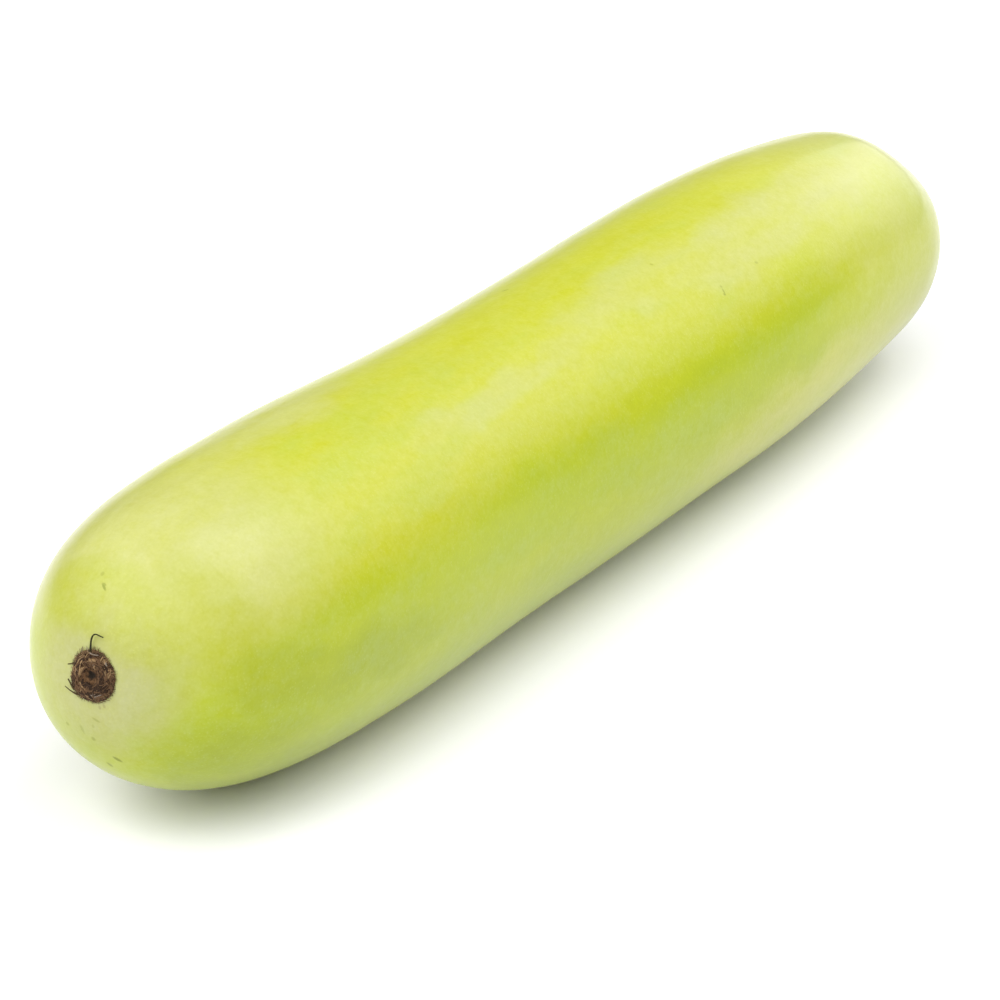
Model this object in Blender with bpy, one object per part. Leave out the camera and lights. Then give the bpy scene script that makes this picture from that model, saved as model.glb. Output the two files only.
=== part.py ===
"""A long bottle gourd, as picked: the fruit, its dry blossom scar and the cut stub of its stalk.

The fruit lies along X on the plane z = 0, with its blossom end at -X and its stalk end at +X.
The origin is on the flat that it rests on, under the middle of its length. Sizes are in metres.
"""

import math
import random

import bmesh
import bpy
import numpy as np
from mathutils import Matrix, Vector

# The whole fruit
LENGTH = 0.393
FLAT_DEPTH = 0.0008

# Sections at nine even steps from the blossom end to the stalk end: a full blossom half,
# a slight waist at mid-length, and a slimmer shoulder towards the stalk
SECTION_RADII = (0.0480, 0.0425, 0.0424, 0.0409, 0.0403, 0.0401, 0.0395, 0.0353, 0.0282)
SECTION_SIDEWAYS = (-0.0015, 0.0005, 0.0006, 0.0007, 0.0001, -0.0001, -0.0002, 0.0001, -0.0004)
SECTION_HEIGHTS = (0.0540, 0.0458, 0.0432, 0.0414, 0.0403, 0.0404, 0.0402, 0.0394, 0.0370)

# The rounded ends: how far each reaches along the fruit, and how full its curve is
BLOSSOM_CAP = 0.078
BLOSSOM_FULLNESS = 2.5
STALK_CAP = 0.039
STALK_FULLNESS = 2.7

# A soft flat on the shoulder of the stalk end
SHOULDER_SHARE = 0.960
SHOULDER_ANGLE = math.radians(119)
SHOULDER_LENGTH = 0.010
SHOULDER_WIDTH = math.radians(30)
SHOULDER_DEPTH = 0.0015

# Shallow dips in the rind round the scar and round the stalk
BLOSSOM_DIP_DEPTH = 0.0006
BLOSSOM_DIP_RADIUS = 0.010
STALK_DIP_DEPTH = 0.0012
STALK_DIP_RADIUS = 0.013

# Faces of the fruit
BODY_RINGS = 46
BODY_SIDES = 60
CURVE_SAMPLES = 2001
END_STEP = 0.002
SHARP_EDGE = math.radians(40)

# The blossom scar: a corky disc with a pit in its middle, seated in a socket in the rind
SCAR_RADIUS = 0.0065
SCAR_DEPTH = 0.0022
SCAR_CREST = 0.0007
SCAR_CREST_RADIUS = 0.0046
SCAR_CREST_WIDTH = 0.0018
SCAR_PIT_DEPTH = 0.0012
SCAR_PIT_RADIUS = 0.0014
SCAR_RIM_DROP = 0.0004
SCAR_RINGS = 7
SCAR_SIDES = 40
SCAR_GRAIN = 0.00018
SOCKET_GAP = 0.0003

# Dried fibres of the scar: a whorl on the disc, a ragged rim, and the wisps that stand out
FIBRE_SEED = 11
FIBRE_SIDES = 4
FIBRE_TAPER = 0.55
WHORL_FIBRES = 20
WHORL_INNER_RADIUS = 0.0022
WHORL_OUTER_RADIUS = 0.0060
WHORL_SWEEP = math.radians(95)
WHORL_THICKNESS = 0.00034
WHORL_ROOT_DEPTH = 0.0003
RIM_FIBRES = 30
RIM_ROOT_RADIUS = 0.0052
RIM_TIP_RADIUS = 0.0076
RIM_RAGGEDNESS = 0.0005
RIM_LEAN = math.radians(14)
RIM_THICKNESS = 0.00028
RIM_ROOT_DEPTH = 0.0003
RIM_TIP_HEIGHT = 0.0001
WISP_THICKNESS = 0.00032
HOOKED_WISP = (
    (-0.0013, 0.0050, -0.0002),
    (-0.0015, 0.0065, 0.0005),
    (-0.0014, 0.0082, 0.0006),
    (-0.0013, 0.0095, 0.0005),
    (-0.0003, 0.0105, 0.0003),
    (0.0009, 0.0104, 0.0002),
    (0.0020, 0.0102, 0.0001),
)
SIDE_WISP = ((-0.0048, 0.0022, -0.0002), (-0.0061, 0.0017, 0.0004), (-0.0073, 0.0014, 0.0005))
LOW_WISP = ((-0.0030, -0.0048, -0.0002), (-0.0051, -0.0050, 0.0005), (-0.0072, -0.0042, 0.0006))
CURVED_WISP = ((-0.0043, -0.0041, -0.0002), (-0.0056, -0.0038, 0.0005), (-0.0065, -0.0023, 0.0007))

# The stalk stub: five blunt ridges, a flare where it meets the fruit, and a clean cut
STALK_LENGTH = 0.0110
STALK_RADIUS = 0.0046
STALK_FLARE = 0.0022
STALK_FLARE_LENGTH = 0.0026
STALK_RIDGES = 5
STALK_RIDGE_DEPTH = 0.0007
STALK_ROOT_DEPTH = 0.0016
STALK_CHAMFER = 0.0004
STALK_RINGS = 9
STALK_SIDES = 40

# Colours, as linear values
RIND_COLOUR = (0.62, 0.69, 0.15)
SCAR_COLOUR = (0.14, 0.076, 0.037)
STALK_COLOUR = (0.30, 0.35, 0.10)


def clear_scene():
    """Removes what the start-up scene holds."""
    for obj in list(bpy.data.objects):
        bpy.data.objects.remove(obj, do_unlink=True)


def material(name, colour, roughness):
    """A plain Principled material in a linear colour."""
    made = bpy.data.materials.new(name)
    made.use_nodes = True
    shader = made.node_tree.nodes["Principled BSDF"]
    shader.inputs["Base Color"].default_value = (*colour, 1.0)
    shader.inputs["Roughness"].default_value = roughness
    shader.inputs["Metallic"].default_value = 0.0
    return made


def smooth_curve(values, shares):
    """A natural cubic curve through evenly spaced values, read at shares from 0 to 1."""
    count = len(values)
    bends = np.zeros(count)
    system = 4 * np.eye(count - 2) + np.eye(count - 2, k=1) + np.eye(count - 2, k=-1)
    bends[1:-1] = np.linalg.solve(system, 6 * np.diff(values, 2))
    place = np.asarray(shares) * (count - 1)
    first = np.clip(place.astype(int), 0, count - 2)
    after = place - first
    before = 1 - after
    level = before * np.take(values, first) + after * np.take(values, first + 1)
    bend_before = (before**3 - before) * bends[first]
    bend_after = (after**3 - after) * bends[first + 1]
    return level + (bend_before + bend_after) / 6


def fruit_radii(shares):
    """The fruit's radius at each share of its length, with both ends rounded off to nothing."""
    along = shares * LENGTH
    blossom = np.clip(1 - along / BLOSSOM_CAP, 0, 1) ** BLOSSOM_FULLNESS
    stalk = np.clip(1 - (LENGTH - along) / STALK_CAP, 0, 1) ** STALK_FULLNESS
    return smooth_curve(SECTION_RADII, shares) * np.sqrt((1 - blossom) * (1 - stalk))


def fruit_centres(shares):
    """Points of the fruit's centreline, lowered so that the resting flat lies on z = 0."""
    sideways = smooth_curve(SECTION_SIDEWAYS, shares)
    heights = smooth_curve(SECTION_HEIGHTS, shares) - FLAT_DEPTH
    return np.stack([(shares - 0.5) * LENGTH, sideways, heights], axis=1)


def directions_along(points):
    """The unit direction of a line of points at each of them."""
    steps = np.gradient(points, axis=0)
    return steps / np.linalg.norm(steps, axis=1)[:, None]


def ring_axes(direction):
    """The sideways and upward axes of a ring that lies square to a direction."""
    side = np.cross((0.0, 0.0, 1.0), direction)
    side /= np.linalg.norm(side)
    return side, np.cross(direction, side)


def shoulder_hollow(share, angles, radius):
    """How far the soft flat on the shoulder sinks the rind, at each angle round a ring."""
    along = (share - SHOULDER_SHARE) * LENGTH / SHOULDER_LENGTH
    turn = (angles - SHOULDER_ANGLE + math.pi) % (2 * math.pi) - math.pi
    fade = min(radius / SECTION_RADII[-1], 1.0)
    return SHOULDER_DEPTH * fade * math.exp(-(along**2)) * np.exp(-((turn / SHOULDER_WIDTH) ** 2))


def dip_along(share, radius):
    """How far a ring moves inwards along the fruit, in the dips round the scar and the stalk."""
    if share < 0.5:
        return BLOSSOM_DIP_DEPTH * math.exp(-((radius / BLOSSOM_DIP_RADIUS) ** 2))
    return -STALK_DIP_DEPTH * math.exp(-((radius / STALK_DIP_RADIUS) ** 2))


def end_frame(at_blossom_end):
    """The matrix of one end: its origin where the rind's pole would be, and its Z outwards."""
    shares = np.array([0.0, END_STEP]) if at_blossom_end else np.array([1.0 - END_STEP, 1.0])
    centres = fruit_centres(shares)
    along = centres[1] - centres[0]
    along /= np.linalg.norm(along)
    side, upward = ring_axes(along)
    if at_blossom_end:
        pole = centres[0] + along * dip_along(0.0, 0.0)
        frame = Matrix((-side, upward, -along)).transposed().to_4x4()
    else:
        pole = centres[1] + along * dip_along(1.0, 0.0)
        frame = Matrix((side, upward, along)).transposed().to_4x4()
    frame.translation = Vector(pole)
    return frame


def share_at_radius(radius, at_blossom_end):
    """Where along the fruit, near one end, its radius has a given value."""
    shares = np.linspace(0, 0.2, CURVE_SAMPLES) ** 2
    if at_blossom_end:
        return float(np.interp(radius, fruit_radii(shares), shares))
    return float(1 - np.interp(radius, fruit_radii(1 - shares), shares))


def bridge(bm, first, second):
    """A band of faces between two rings of the same count."""
    for i in range(len(first)):
        j = (i + 1) % len(first)
        bm.faces.new((first[i], first[j], second[j], second[i]))


def loft(rings):
    """A closed mesh through rings of points, with a flat face across its first and last ring."""
    bm = bmesh.new()
    made = [[bm.verts.new(point) for point in ring] for ring in rings]
    for first, second in zip(made, made[1:]):
        bridge(bm, first, second)
    bm.faces.new(made[0])
    bm.faces.new(made[-1])
    bmesh.ops.recalc_face_normals(bm, faces=bm.faces)
    return bm


def mesh_from(name, bm):
    """A smooth-shaded mesh from a bmesh, which is freed."""
    mesh = bpy.data.meshes.new(name)
    bm.to_mesh(mesh)
    bm.free()
    mesh.shade_smooth()
    mesh.set_sharp_from_angle(angle=SHARP_EDGE)
    return mesh


def place(name, mesh, surface, frame=None):
    """An object in the scene that holds a mesh, in its own material and at its own place."""
    mesh.materials.append(surface)
    obj = bpy.data.objects.new(name, mesh)
    bpy.context.scene.collection.objects.link(obj)
    if frame is not None:
        obj.matrix_world = frame
    return obj


def rind_rings():
    """The rings of the rind, from the edge of the scar's socket to the edge of the stalk's."""
    first = share_at_radius(SCAR_RADIUS + SOCKET_GAP, True)
    last = share_at_radius(STALK_RADIUS + STALK_FLARE + SOCKET_GAP, False)
    turns = np.linspace(math.acos(1 - 2 * first), math.acos(1 - 2 * last), BODY_RINGS)
    shares = (1 - np.cos(turns)) / 2
    centres = fruit_centres(shares)
    angles = np.arange(BODY_SIDES) * 2 * math.pi / BODY_SIDES
    rings = []
    for share, centre, radius, along in zip(
        shares, centres, fruit_radii(shares), directions_along(centres)
    ):
        side, upward = ring_axes(along)
        middle = centre + along * dip_along(share, radius)
        reach = radius - shoulder_hollow(share, angles, radius)
        spokes = np.cos(angles)[:, None] * side + np.sin(angles)[:, None] * upward
        rings.append(middle + reach[:, None] * spokes)
    return rings


def socket_floor(rim, frame, depth):
    """The floor of a socket: the outline of its rim, laid flat at a depth below the pole."""
    to_end = frame.inverted()
    floor = []
    for point in rim:
        local = to_end @ Vector(point)
        local.z = -depth
        floor.append(frame @ local)
    return floor


def cut_resting_flat(bm):
    """Cuts the fruit's underside off at z = 0 and closes it with one flat face."""
    cut = bmesh.ops.bisect_plane(
        bm,
        geom=[*bm.verts, *bm.edges, *bm.faces],
        plane_co=(0, 0, 0),
        plane_no=(0, 0, 1),
        clear_inner=True,
    )
    edges = [item for item in cut["geom_cut"] if isinstance(item, bmesh.types.BMEdge)]
    bmesh.ops.contextual_create(bm, geom=edges)
    bmesh.ops.recalc_face_normals(bm, faces=bm.faces)


def build_fruit(surface):
    """The fruit: its rind, a socket at each end, and the small flat that it rests on."""
    rings = rind_rings()
    scar_floor = socket_floor(rings[0], end_frame(True), SCAR_DEPTH + SOCKET_GAP)
    stalk_floor = socket_floor(rings[-1], end_frame(False), STALK_ROOT_DEPTH + SOCKET_GAP)
    bm = loft([scar_floor, *rings, stalk_floor])
    cut_resting_flat(bm)
    return place("gourd_body", mesh_from("gourd_body", bm), surface)


def scar_height(radius):
    """Height of the scar's face above the pole: a pit, a crest round it and a worn rim."""
    crest = math.exp(-(((radius - SCAR_CREST_RADIUS) / SCAR_CREST_WIDTH) ** 2))
    pit = math.exp(-((radius / SCAR_PIT_RADIUS) ** 2))
    beyond = max(radius - SCAR_CREST_RADIUS, 0.0) / (SCAR_RADIUS - SCAR_CREST_RADIUS)
    return SCAR_CREST * crest - SCAR_PIT_DEPTH * pit - SCAR_RIM_DROP * beyond**2


def on_scar(radius, angle, height):
    """A point of the scar's own frame, from its distance and angle round the middle."""
    return (radius * math.cos(angle), radius * math.sin(angle), height)


def scar_rings(rng):
    """Rings of the corky disc, from the middle of its face, over the rim, to its underside."""
    rings = []
    for k in range(SCAR_RINGS):
        radius = SCAR_RADIUS * (k + 1) / SCAR_RINGS
        ring = []
        for i in range(SCAR_SIDES):
            height = scar_height(radius) + rng.uniform(-SCAR_GRAIN, SCAR_GRAIN)
            ring.append(on_scar(radius, 2 * math.pi * i / SCAR_SIDES, height))
        rings.append(ring)
    rings.append([(x, y, -SCAR_DEPTH) for x, y, _ in rings[-1]])
    return rings


def fibre(points, thickness):
    """A dried fibre along a smooth line through points: a slim tube that thins to its tip."""
    shares = np.linspace(0, 1, 2 * len(points))
    line = np.stack([smooth_curve(axis, shares) for axis in np.transpose(points)], axis=1)
    across = np.array((0.0, 0.0, 1.0))
    rings = []
    for share, point, along in zip(shares, line, directions_along(line)):
        across = across - along * np.dot(across, along)
        across /= np.linalg.norm(across)
        other = np.cross(along, across)
        radius = thickness / 2 * (1 - FIBRE_TAPER * share)
        ring = []
        for i in range(FIBRE_SIDES):
            angle = 2 * math.pi * i / FIBRE_SIDES
            ring.append(point + radius * (math.cos(angle) * across + math.sin(angle) * other))
        rings.append(ring)
    return loft(rings)


def whorl_fibre(index, rng):
    """One fibre of the whorl, which winds outwards half sunk in the disc."""
    start = 2 * math.pi * index / WHORL_FIBRES + rng.uniform(-0.1, 0.1)
    points = []
    for share in (0.0, 0.35, 0.7, 1.0):
        radius = WHORL_INNER_RADIUS + (WHORL_OUTER_RADIUS - WHORL_INNER_RADIUS) * share
        sunk = WHORL_ROOT_DEPTH if share in (0.0, 1.0) else 0.0
        points.append(on_scar(radius, start + WHORL_SWEEP * share, scar_height(radius) - sunk))
    return fibre(points, WHORL_THICKNESS)


def rim_fibre(index, rng):
    """One fibre of the ragged rim, rooted in the disc and reaching out over the rind."""
    start = 2 * math.pi * (index + rng.uniform(-0.3, 0.3)) / RIM_FIBRES
    lean = rng.uniform(-RIM_LEAN, RIM_LEAN)
    reach = RIM_TIP_RADIUS + rng.uniform(-RIM_RAGGEDNESS, RIM_RAGGEDNESS)
    middle = (RIM_ROOT_RADIUS + reach) / 2
    points = (
        on_scar(RIM_ROOT_RADIUS, start, scar_height(RIM_ROOT_RADIUS) - RIM_ROOT_DEPTH),
        on_scar(middle, start + lean / 2, scar_height(middle) + RIM_TIP_HEIGHT),
        on_scar(reach, start + lean, RIM_TIP_HEIGHT),
    )
    return fibre(points, RIM_THICKNESS)


def scar_fibres(rng):
    """Every fibre of the scar, each a closed tube of its own."""
    fibres = [whorl_fibre(i, rng) for i in range(WHORL_FIBRES)]
    fibres += [rim_fibre(i, rng) for i in range(RIM_FIBRES)]
    for wisp in (HOOKED_WISP, SIDE_WISP, LOW_WISP, CURVED_WISP):
        fibres.append(fibre(wisp, WISP_THICKNESS))
    return fibres


def joined(base, parts):
    """The mesh of a base object with every part joined to it by one Boolean union."""
    helpers = bpy.data.collections.new("parts_to_join")
    bpy.context.scene.collection.children.link(helpers)
    for part in parts:
        helper = bpy.data.objects.new("part_to_join", mesh_from("part_to_join", part))
        helper.matrix_world = base.matrix_world
        helpers.objects.link(helper)
    union = base.modifiers.new("union", "BOOLEAN")
    union.operation = "UNION"
    union.operand_type = "COLLECTION"
    union.collection = helpers
    bpy.context.view_layer.update()
    evaluated = base.evaluated_get(bpy.context.evaluated_depsgraph_get())
    mesh = bpy.data.meshes.new_from_object(evaluated)
    base.modifiers.clear()
    for helper in list(helpers.objects):
        bpy.data.objects.remove(helper, do_unlink=True)
    bpy.data.collections.remove(helpers)
    return mesh


def islands(bm):
    """The separate connected pieces of a bmesh, as lists of vertices."""
    left = set(bm.verts)
    found = []
    while left:
        piece = []
        waiting = [left.pop()]
        while waiting:
            vertex = waiting.pop()
            piece.append(vertex)
            for edge in vertex.link_edges:
                other = edge.other_vert(vertex)
                if other in left:
                    left.remove(other)
                    waiting.append(other)
        found.append(piece)
    return found


def keep_main_body(mesh):
    """Drops loose scraps and fills sealed hollows, so that only the one outer body is left."""
    bm = bmesh.new()
    bm.from_mesh(mesh)
    pieces = sorted(islands(bm), key=len)
    for piece in pieces[:-1]:
        bmesh.ops.delete(bm, geom=piece, context="VERTS")
    bm.to_mesh(mesh)
    bm.free()


def build_scar(surface):
    """The blossom scar: the corky disc with all its dried fibres, as one body."""
    rng = random.Random(FIBRE_SEED)
    disc = loft(scar_rings(rng))
    scar = place("blossom_scar", mesh_from("blossom_scar", disc), surface, end_frame(True))
    scar.data = joined(scar, scar_fibres(rng))
    keep_main_body(scar.data)
    return scar


def stalk_radius(height):
    """The stalk's radius at a height above the rind's pole, before its ridges."""
    return STALK_RADIUS + STALK_FLARE * math.exp(-max(height, 0.0) / STALK_FLARE_LENGTH)


def stalk_ring(height, inset=0.0):
    """A ring of the stalk, with five blunt ridges that fade out into its root."""
    fade = 1 - math.exp(-max(height, 0.0) / STALK_FLARE_LENGTH)
    ring = []
    for i in range(STALK_SIDES):
        angle = 2 * math.pi * i / STALK_SIDES
        groove = STALK_RIDGE_DEPTH * fade * (1 - math.cos(STALK_RIDGES * angle)) / 2
        radius = stalk_radius(height) - groove - inset
        ring.append((radius * math.cos(angle), radius * math.sin(angle), height))
    return ring


def build_stalk(surface):
    """The cut stub of the stalk, seated in its socket at the stalk end."""
    heights = np.linspace(0, STALK_LENGTH - STALK_CHAMFER, STALK_RINGS)
    rings = [stalk_ring(-STALK_ROOT_DEPTH)]
    rings += [stalk_ring(float(height)) for height in heights]
    rings.append(stalk_ring(STALK_LENGTH, STALK_CHAMFER))
    return place("stalk", mesh_from("stalk", loft(rings)), surface, end_frame(False))


def main():
    """Builds the whole gourd."""
    clear_scene()
    build_fruit(material("rind", RIND_COLOUR, 0.35))
    build_scar(material("dry_scar", SCAR_COLOUR, 0.85))
    build_stalk(material("cut_stalk", STALK_COLOUR, 0.60))


main()
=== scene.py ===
"""Dresses a long bottle gourd: its waxy mottled rind, its dry blossom scar and its cut stalk.

Everything is in metres. The fruit lies along X with its blossom end at -X and its stalk end at
+X, and rests on z = 0. The fine pieces here follow the form of the solids that they stand for.
"""

import logging
import math
import random
from dataclasses import dataclass
from enum import Enum
from functools import reduce
from typing import ClassVar

import bpy
import numpy as np
from mathutils import Matrix, Vector, noise


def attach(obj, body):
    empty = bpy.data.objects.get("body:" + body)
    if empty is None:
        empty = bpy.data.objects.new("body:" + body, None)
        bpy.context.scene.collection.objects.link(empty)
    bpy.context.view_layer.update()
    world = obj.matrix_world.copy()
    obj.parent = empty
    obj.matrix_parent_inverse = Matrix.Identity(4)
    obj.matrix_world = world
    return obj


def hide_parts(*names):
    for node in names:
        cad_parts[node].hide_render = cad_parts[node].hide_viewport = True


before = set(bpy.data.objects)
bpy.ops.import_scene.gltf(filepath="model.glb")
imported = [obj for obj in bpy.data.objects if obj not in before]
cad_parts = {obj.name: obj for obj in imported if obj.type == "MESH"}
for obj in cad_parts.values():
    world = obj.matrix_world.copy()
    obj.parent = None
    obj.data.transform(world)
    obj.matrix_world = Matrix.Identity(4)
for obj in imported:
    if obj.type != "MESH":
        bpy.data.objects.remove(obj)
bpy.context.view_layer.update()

LOG = logging.getLogger("bottle_gourd")
ROOT = "root"
MIDDLE = (0.0, 0.0, 0.04)
# The places of a Mix node's sockets for colours, whose names its other sockets share
MIX_SHARE, MIX_FIRST, MIX_SECOND, MIX_RESULT = 0, 6, 7, 2
# The least that paint gives back in any of its three colours
PAINT_FLOOR = (0.004, 0.004, 0.004)
# A direction that no fibre follows, from which its sides are counted
OBLIQUE = (0.31, 0.27, 0.91)
# Keeps the length of a normal from reaching zero
TINY = 1e-12

Colour = tuple[float, float, float]
Point = tuple[float, float, float]
Span = tuple[float, float]


class End(Enum):
    """The two ends of the fruit."""

    BLOSSOM = "blossom"
    STALK = "stalk"


class Node(Enum):
    """The solids that the fine pieces stand for, by their names in the frame."""

    BODY = "gourd_body"
    SCAR = "blossom_scar"
    STALK = "stalk"


class Slot(Enum):
    """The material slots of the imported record."""

    RIND = "rind"
    SCAR = "dry_scar"
    STALK = "cut_stalk"


class Tone(Enum):
    """The shades of the dried fibres, each a material index of the piece that holds them."""

    DARK = 0
    BROWN = 1
    TAN = 2
    STRAW = 3
    OLIVE = 4
    BARK = 5


# Shader graphs


class Value:
    """A number that varies over a surface, which takes part in plain arithmetic."""

    def __init__(self, graph: "Graph", socket: bpy.types.NodeSocket) -> None:
        """Wraps an output socket.

        Args:
            graph: The graph that the socket belongs to.
            socket: The output that carries the number.
        """
        self.graph = graph
        self.socket = socket

    def worked(self, operation: str, *terms: "Value | float") -> "Value":
        """Adds one Math node.

        Args:
            operation: The node's operation, as Blender names it.
            terms: Its numbers, in order.

        Returns:
            The node's result.
        """
        inputs = dict(enumerate(terms))
        node = self.graph.node("ShaderNodeMath", {"operation": operation}, inputs)
        return Value(self.graph, node.outputs[0])

    def __add__(self, other: "Value | float") -> "Value":
        """This number plus another."""
        return self.worked("ADD", self, other)

    def __radd__(self, other: float) -> "Value":
        """Another number plus this one."""
        return self.worked("ADD", other, self)

    def __sub__(self, other: "Value | float") -> "Value":
        """This number less another."""
        return self.worked("SUBTRACT", self, other)

    def __mul__(self, other: "Value | float") -> "Value":
        """This number times another."""
        return self.worked("MULTIPLY", self, other)

    def __pow__(self, other: "Value | float") -> "Value":
        """This number to a power."""
        return self.worked("POWER", self, other)

    def larger(self, other: "Value | float") -> "Value":
        """The larger of this number and another."""
        return self.worked("MAXIMUM", self, other)

    def rise(self, low: float, high: float, top: float = 1.0) -> "Value":
        """A smooth step.

        Args:
            low: Where the step starts, at 0.
            high: Where it ends, at its top. It may lie below low, for a step that falls.
            top: What it reaches.

        Returns:
            The stepped number, from 0 to its top.
        """
        settings = {"interpolation_type": "SMOOTHSTEP"}
        flipped = high < low
        inputs = {"Value": self, "From Min": min(low, high), "From Max": max(low, high)}
        inputs |= {"To Min": top * flipped, "To Max": top * (not flipped)}
        node = self.graph.node("ShaderNodeMapRange", settings, inputs)
        return Value(self.graph, node.outputs["Result"])


# What a node's input takes: a link, a number, a colour or a vector
Feed = Value | bpy.types.NodeSocket | float | tuple


class Graph:
    """The node tree of one material, built from expressions."""

    def __init__(self, name: str) -> None:
        """Starts a material with an empty tree.

        Args:
            name: The material's name.
        """
        self.material = bpy.data.materials.new(name)
        self.material.use_nodes = True
        self.tree = self.material.node_tree
        self.tree.nodes.clear()

    def node(self, kind: str, settings: dict, inputs: dict[str | int, Feed]) -> bpy.types.Node:
        """Adds any node.

        Args:
            kind: The node's type.
            settings: Its own settings by name, set before its sockets.
            inputs: What each socket, by name or place, takes: a value or a link.

        Returns:
            The node.
        """
        made = self.tree.nodes.new(kind)
        for name, value in settings.items():
            setattr(made, name, value)
        for key, feed in inputs.items():
            socket = made.inputs[key]
            if isinstance(feed, Value):
                feed = feed.socket
            if isinstance(feed, bpy.types.NodeSocket):
                self.tree.links.new(feed, socket)
            elif socket.type == "RGBA":
                socket.default_value = (*feed, 1.0)
            else:
                socket.default_value = feed
        return made

    def place(self) -> bpy.types.NodeSocket:
        """The point on the surface, in metres of the object's own frame."""
        return self.node("ShaderNodeTexCoord", {}, {}).outputs["Object"]

    def vector(self, operation: str, first: Feed, second: Feed) -> bpy.types.NodeSocket:
        """The vector that one Vector Math node makes of two others."""
        inputs = {0: first, 1: second}
        return self.node("ShaderNodeVectorMath", {"operation": operation}, inputs).outputs[0]

    def measure(self, operation: str, first: Feed, second: Feed) -> Value:
        """The number that one Vector Math node makes of two vectors."""
        made = self.node("ShaderNodeVectorMath", {"operation": operation}, {0: first, 1: second})
        return Value(self, made.outputs["Value"])

    def stretched(self, vector: bpy.types.NodeSocket, factors: Point) -> bpy.types.NodeSocket:
        """A point scaled along each axis, which draws a pattern out along the small factors."""
        return self.vector("MULTIPLY", vector, factors)

    def less(self, vector: bpy.types.NodeSocket, point: Point) -> bpy.types.NodeSocket:
        """A point taken relative to another."""
        return self.vector("SUBTRACT", vector, point)

    def warped(self, vector: bpy.types.NodeSocket, size: float, reach: float
               ) -> bpy.types.NodeSocket:
        """A point moved about by noise, which makes the edges of patches irregular.

        Args:
            vector: The point.
            size: The size of the noise's forms, in metres.
            reach: How far the noise moves the point between its extremes, in metres.

        Returns:
            The moved point.
        """
        inputs = {"Vector": vector, "Scale": 1 / size, "Detail": 2.0}
        colour = self.node("ShaderNodeTexNoise", {}, inputs).outputs["Color"]
        moved = self.stretched(self.less(colour, (0.5, 0.5, 0.5)), (reach, reach, reach))
        return self.vector("ADD", vector, moved)

    def dot(self, vector: bpy.types.NodeSocket, other: Feed) -> Value:
        """The dot product of two vectors."""
        return self.measure("DOT_PRODUCT", vector, other)

    def distance(self, vector: bpy.types.NodeSocket, point: Point) -> Value:
        """The distance of a point from another."""
        return self.measure("DISTANCE", vector, point)

    def noise(self, vector: bpy.types.NodeSocket, size: float, detail: float) -> Value:
        """Cloudy noise.

        Args:
            vector: Where it is read.
            size: The size of its largest forms, in metres.
            detail: How many finer layers it has.

        Returns:
            The noise, about 0.5 on average.
        """
        inputs = {"Vector": vector, "Scale": 1 / size, "Detail": detail}
        return Value(self, self.node("ShaderNodeTexNoise", {}, inputs).outputs[0])

    def cells(self, vector: bpy.types.NodeSocket, size: float) -> tuple[Value, Value]:
        """Scattered cells.

        Args:
            vector: Where they are read.
            size: The mean distance between their middles, in metres.

        Returns:
            The distance to the nearest middle, as a share of size, and that cell's own number.
        """
        node = self.node("ShaderNodeTexVoronoi", {}, {"Vector": vector, "Scale": 1 / size})
        return Value(self, node.outputs["Distance"]), self.dot(node.outputs["Color"], (1, 0, 0))

    def mixed(self, share: Value | float, first: Feed, second: Feed) -> bpy.types.NodeSocket:
        """A colour between two others.

        Args:
            share: How much of the second it takes, from 0 to 1.
            first: The colour at share 0.
            second: The colour at share 1.

        Returns:
            The mixed colour.
        """
        settings = {"data_type": "RGBA", "blend_type": "MIX"}
        inputs = {MIX_SHARE: share, MIX_FIRST: first, MIX_SECOND: second}
        return self.node("ShaderNodeMix", settings, inputs).outputs[MIX_RESULT]

    def toned(self, colour: Feed, factor: Value) -> bpy.types.NodeSocket:
        """A colour made darker or lighter by a factor."""
        inputs = {0: colour, "Scale": factor}
        return self.node("ShaderNodeVectorMath", {"operation": "SCALE"}, inputs).outputs[0]

    def paled(self, colour: bpy.types.NodeSocket, blue: Value) -> bpy.types.NodeSocket:
        """Adds blue to a colour, which pales a yellow, or takes it away, which deepens it.

        Args:
            colour: The colour.
            blue: How much blue is added.

        Returns:
            The changed colour, which stays above the least that paint gives back.
        """
        step = self.node("ShaderNodeCombineXYZ", {}, {0: 0.0, 1: 0.0, 2: blue}).outputs[0]
        return self.vector("MAXIMUM", self.vector("ADD", colour, step), PAINT_FLOOR)

    def bump(self, height: Value, depth: float) -> bpy.types.NodeSocket:
        """A normal that follows a fine relief.

        Args:
            height: The relief, from 0 to 1.
            depth: How deep it is from 0 to 1, in metres.

        Returns:
            The bent normal.
        """
        return self.node("ShaderNodeBump", {}, {"Height": height, "Distance": depth}).outputs[0]

    def finish(self, inputs: dict[str | int, Feed]) -> bpy.types.Material:
        """Ends the tree with a Principled shader.

        Args:
            inputs: What its sockets take.

        Returns:
            The finished material.
        """
        shader = self.node("ShaderNodeBsdfPrincipled", {}, inputs)
        self.node("ShaderNodeOutputMaterial", {}, {"Surface": shader.outputs[0]})
        return self.material


# Form of the fruit


def bell(values: np.ndarray, middle: float, width: float) -> np.ndarray:
    """A bell curve that is 1 at its middle and about a third one width away."""
    return np.exp(-(((values - middle) / width) ** 2))


def turns(count: int) -> np.ndarray:
    """Evenly spaced angles for the points of a ring."""
    return np.arange(count) * 2 * math.pi / count


def spokes(angles: np.ndarray) -> np.ndarray:
    """Unit vectors in the plane at each angle."""
    return np.stack([np.cos(angles), np.sin(angles)], axis=1)


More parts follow.
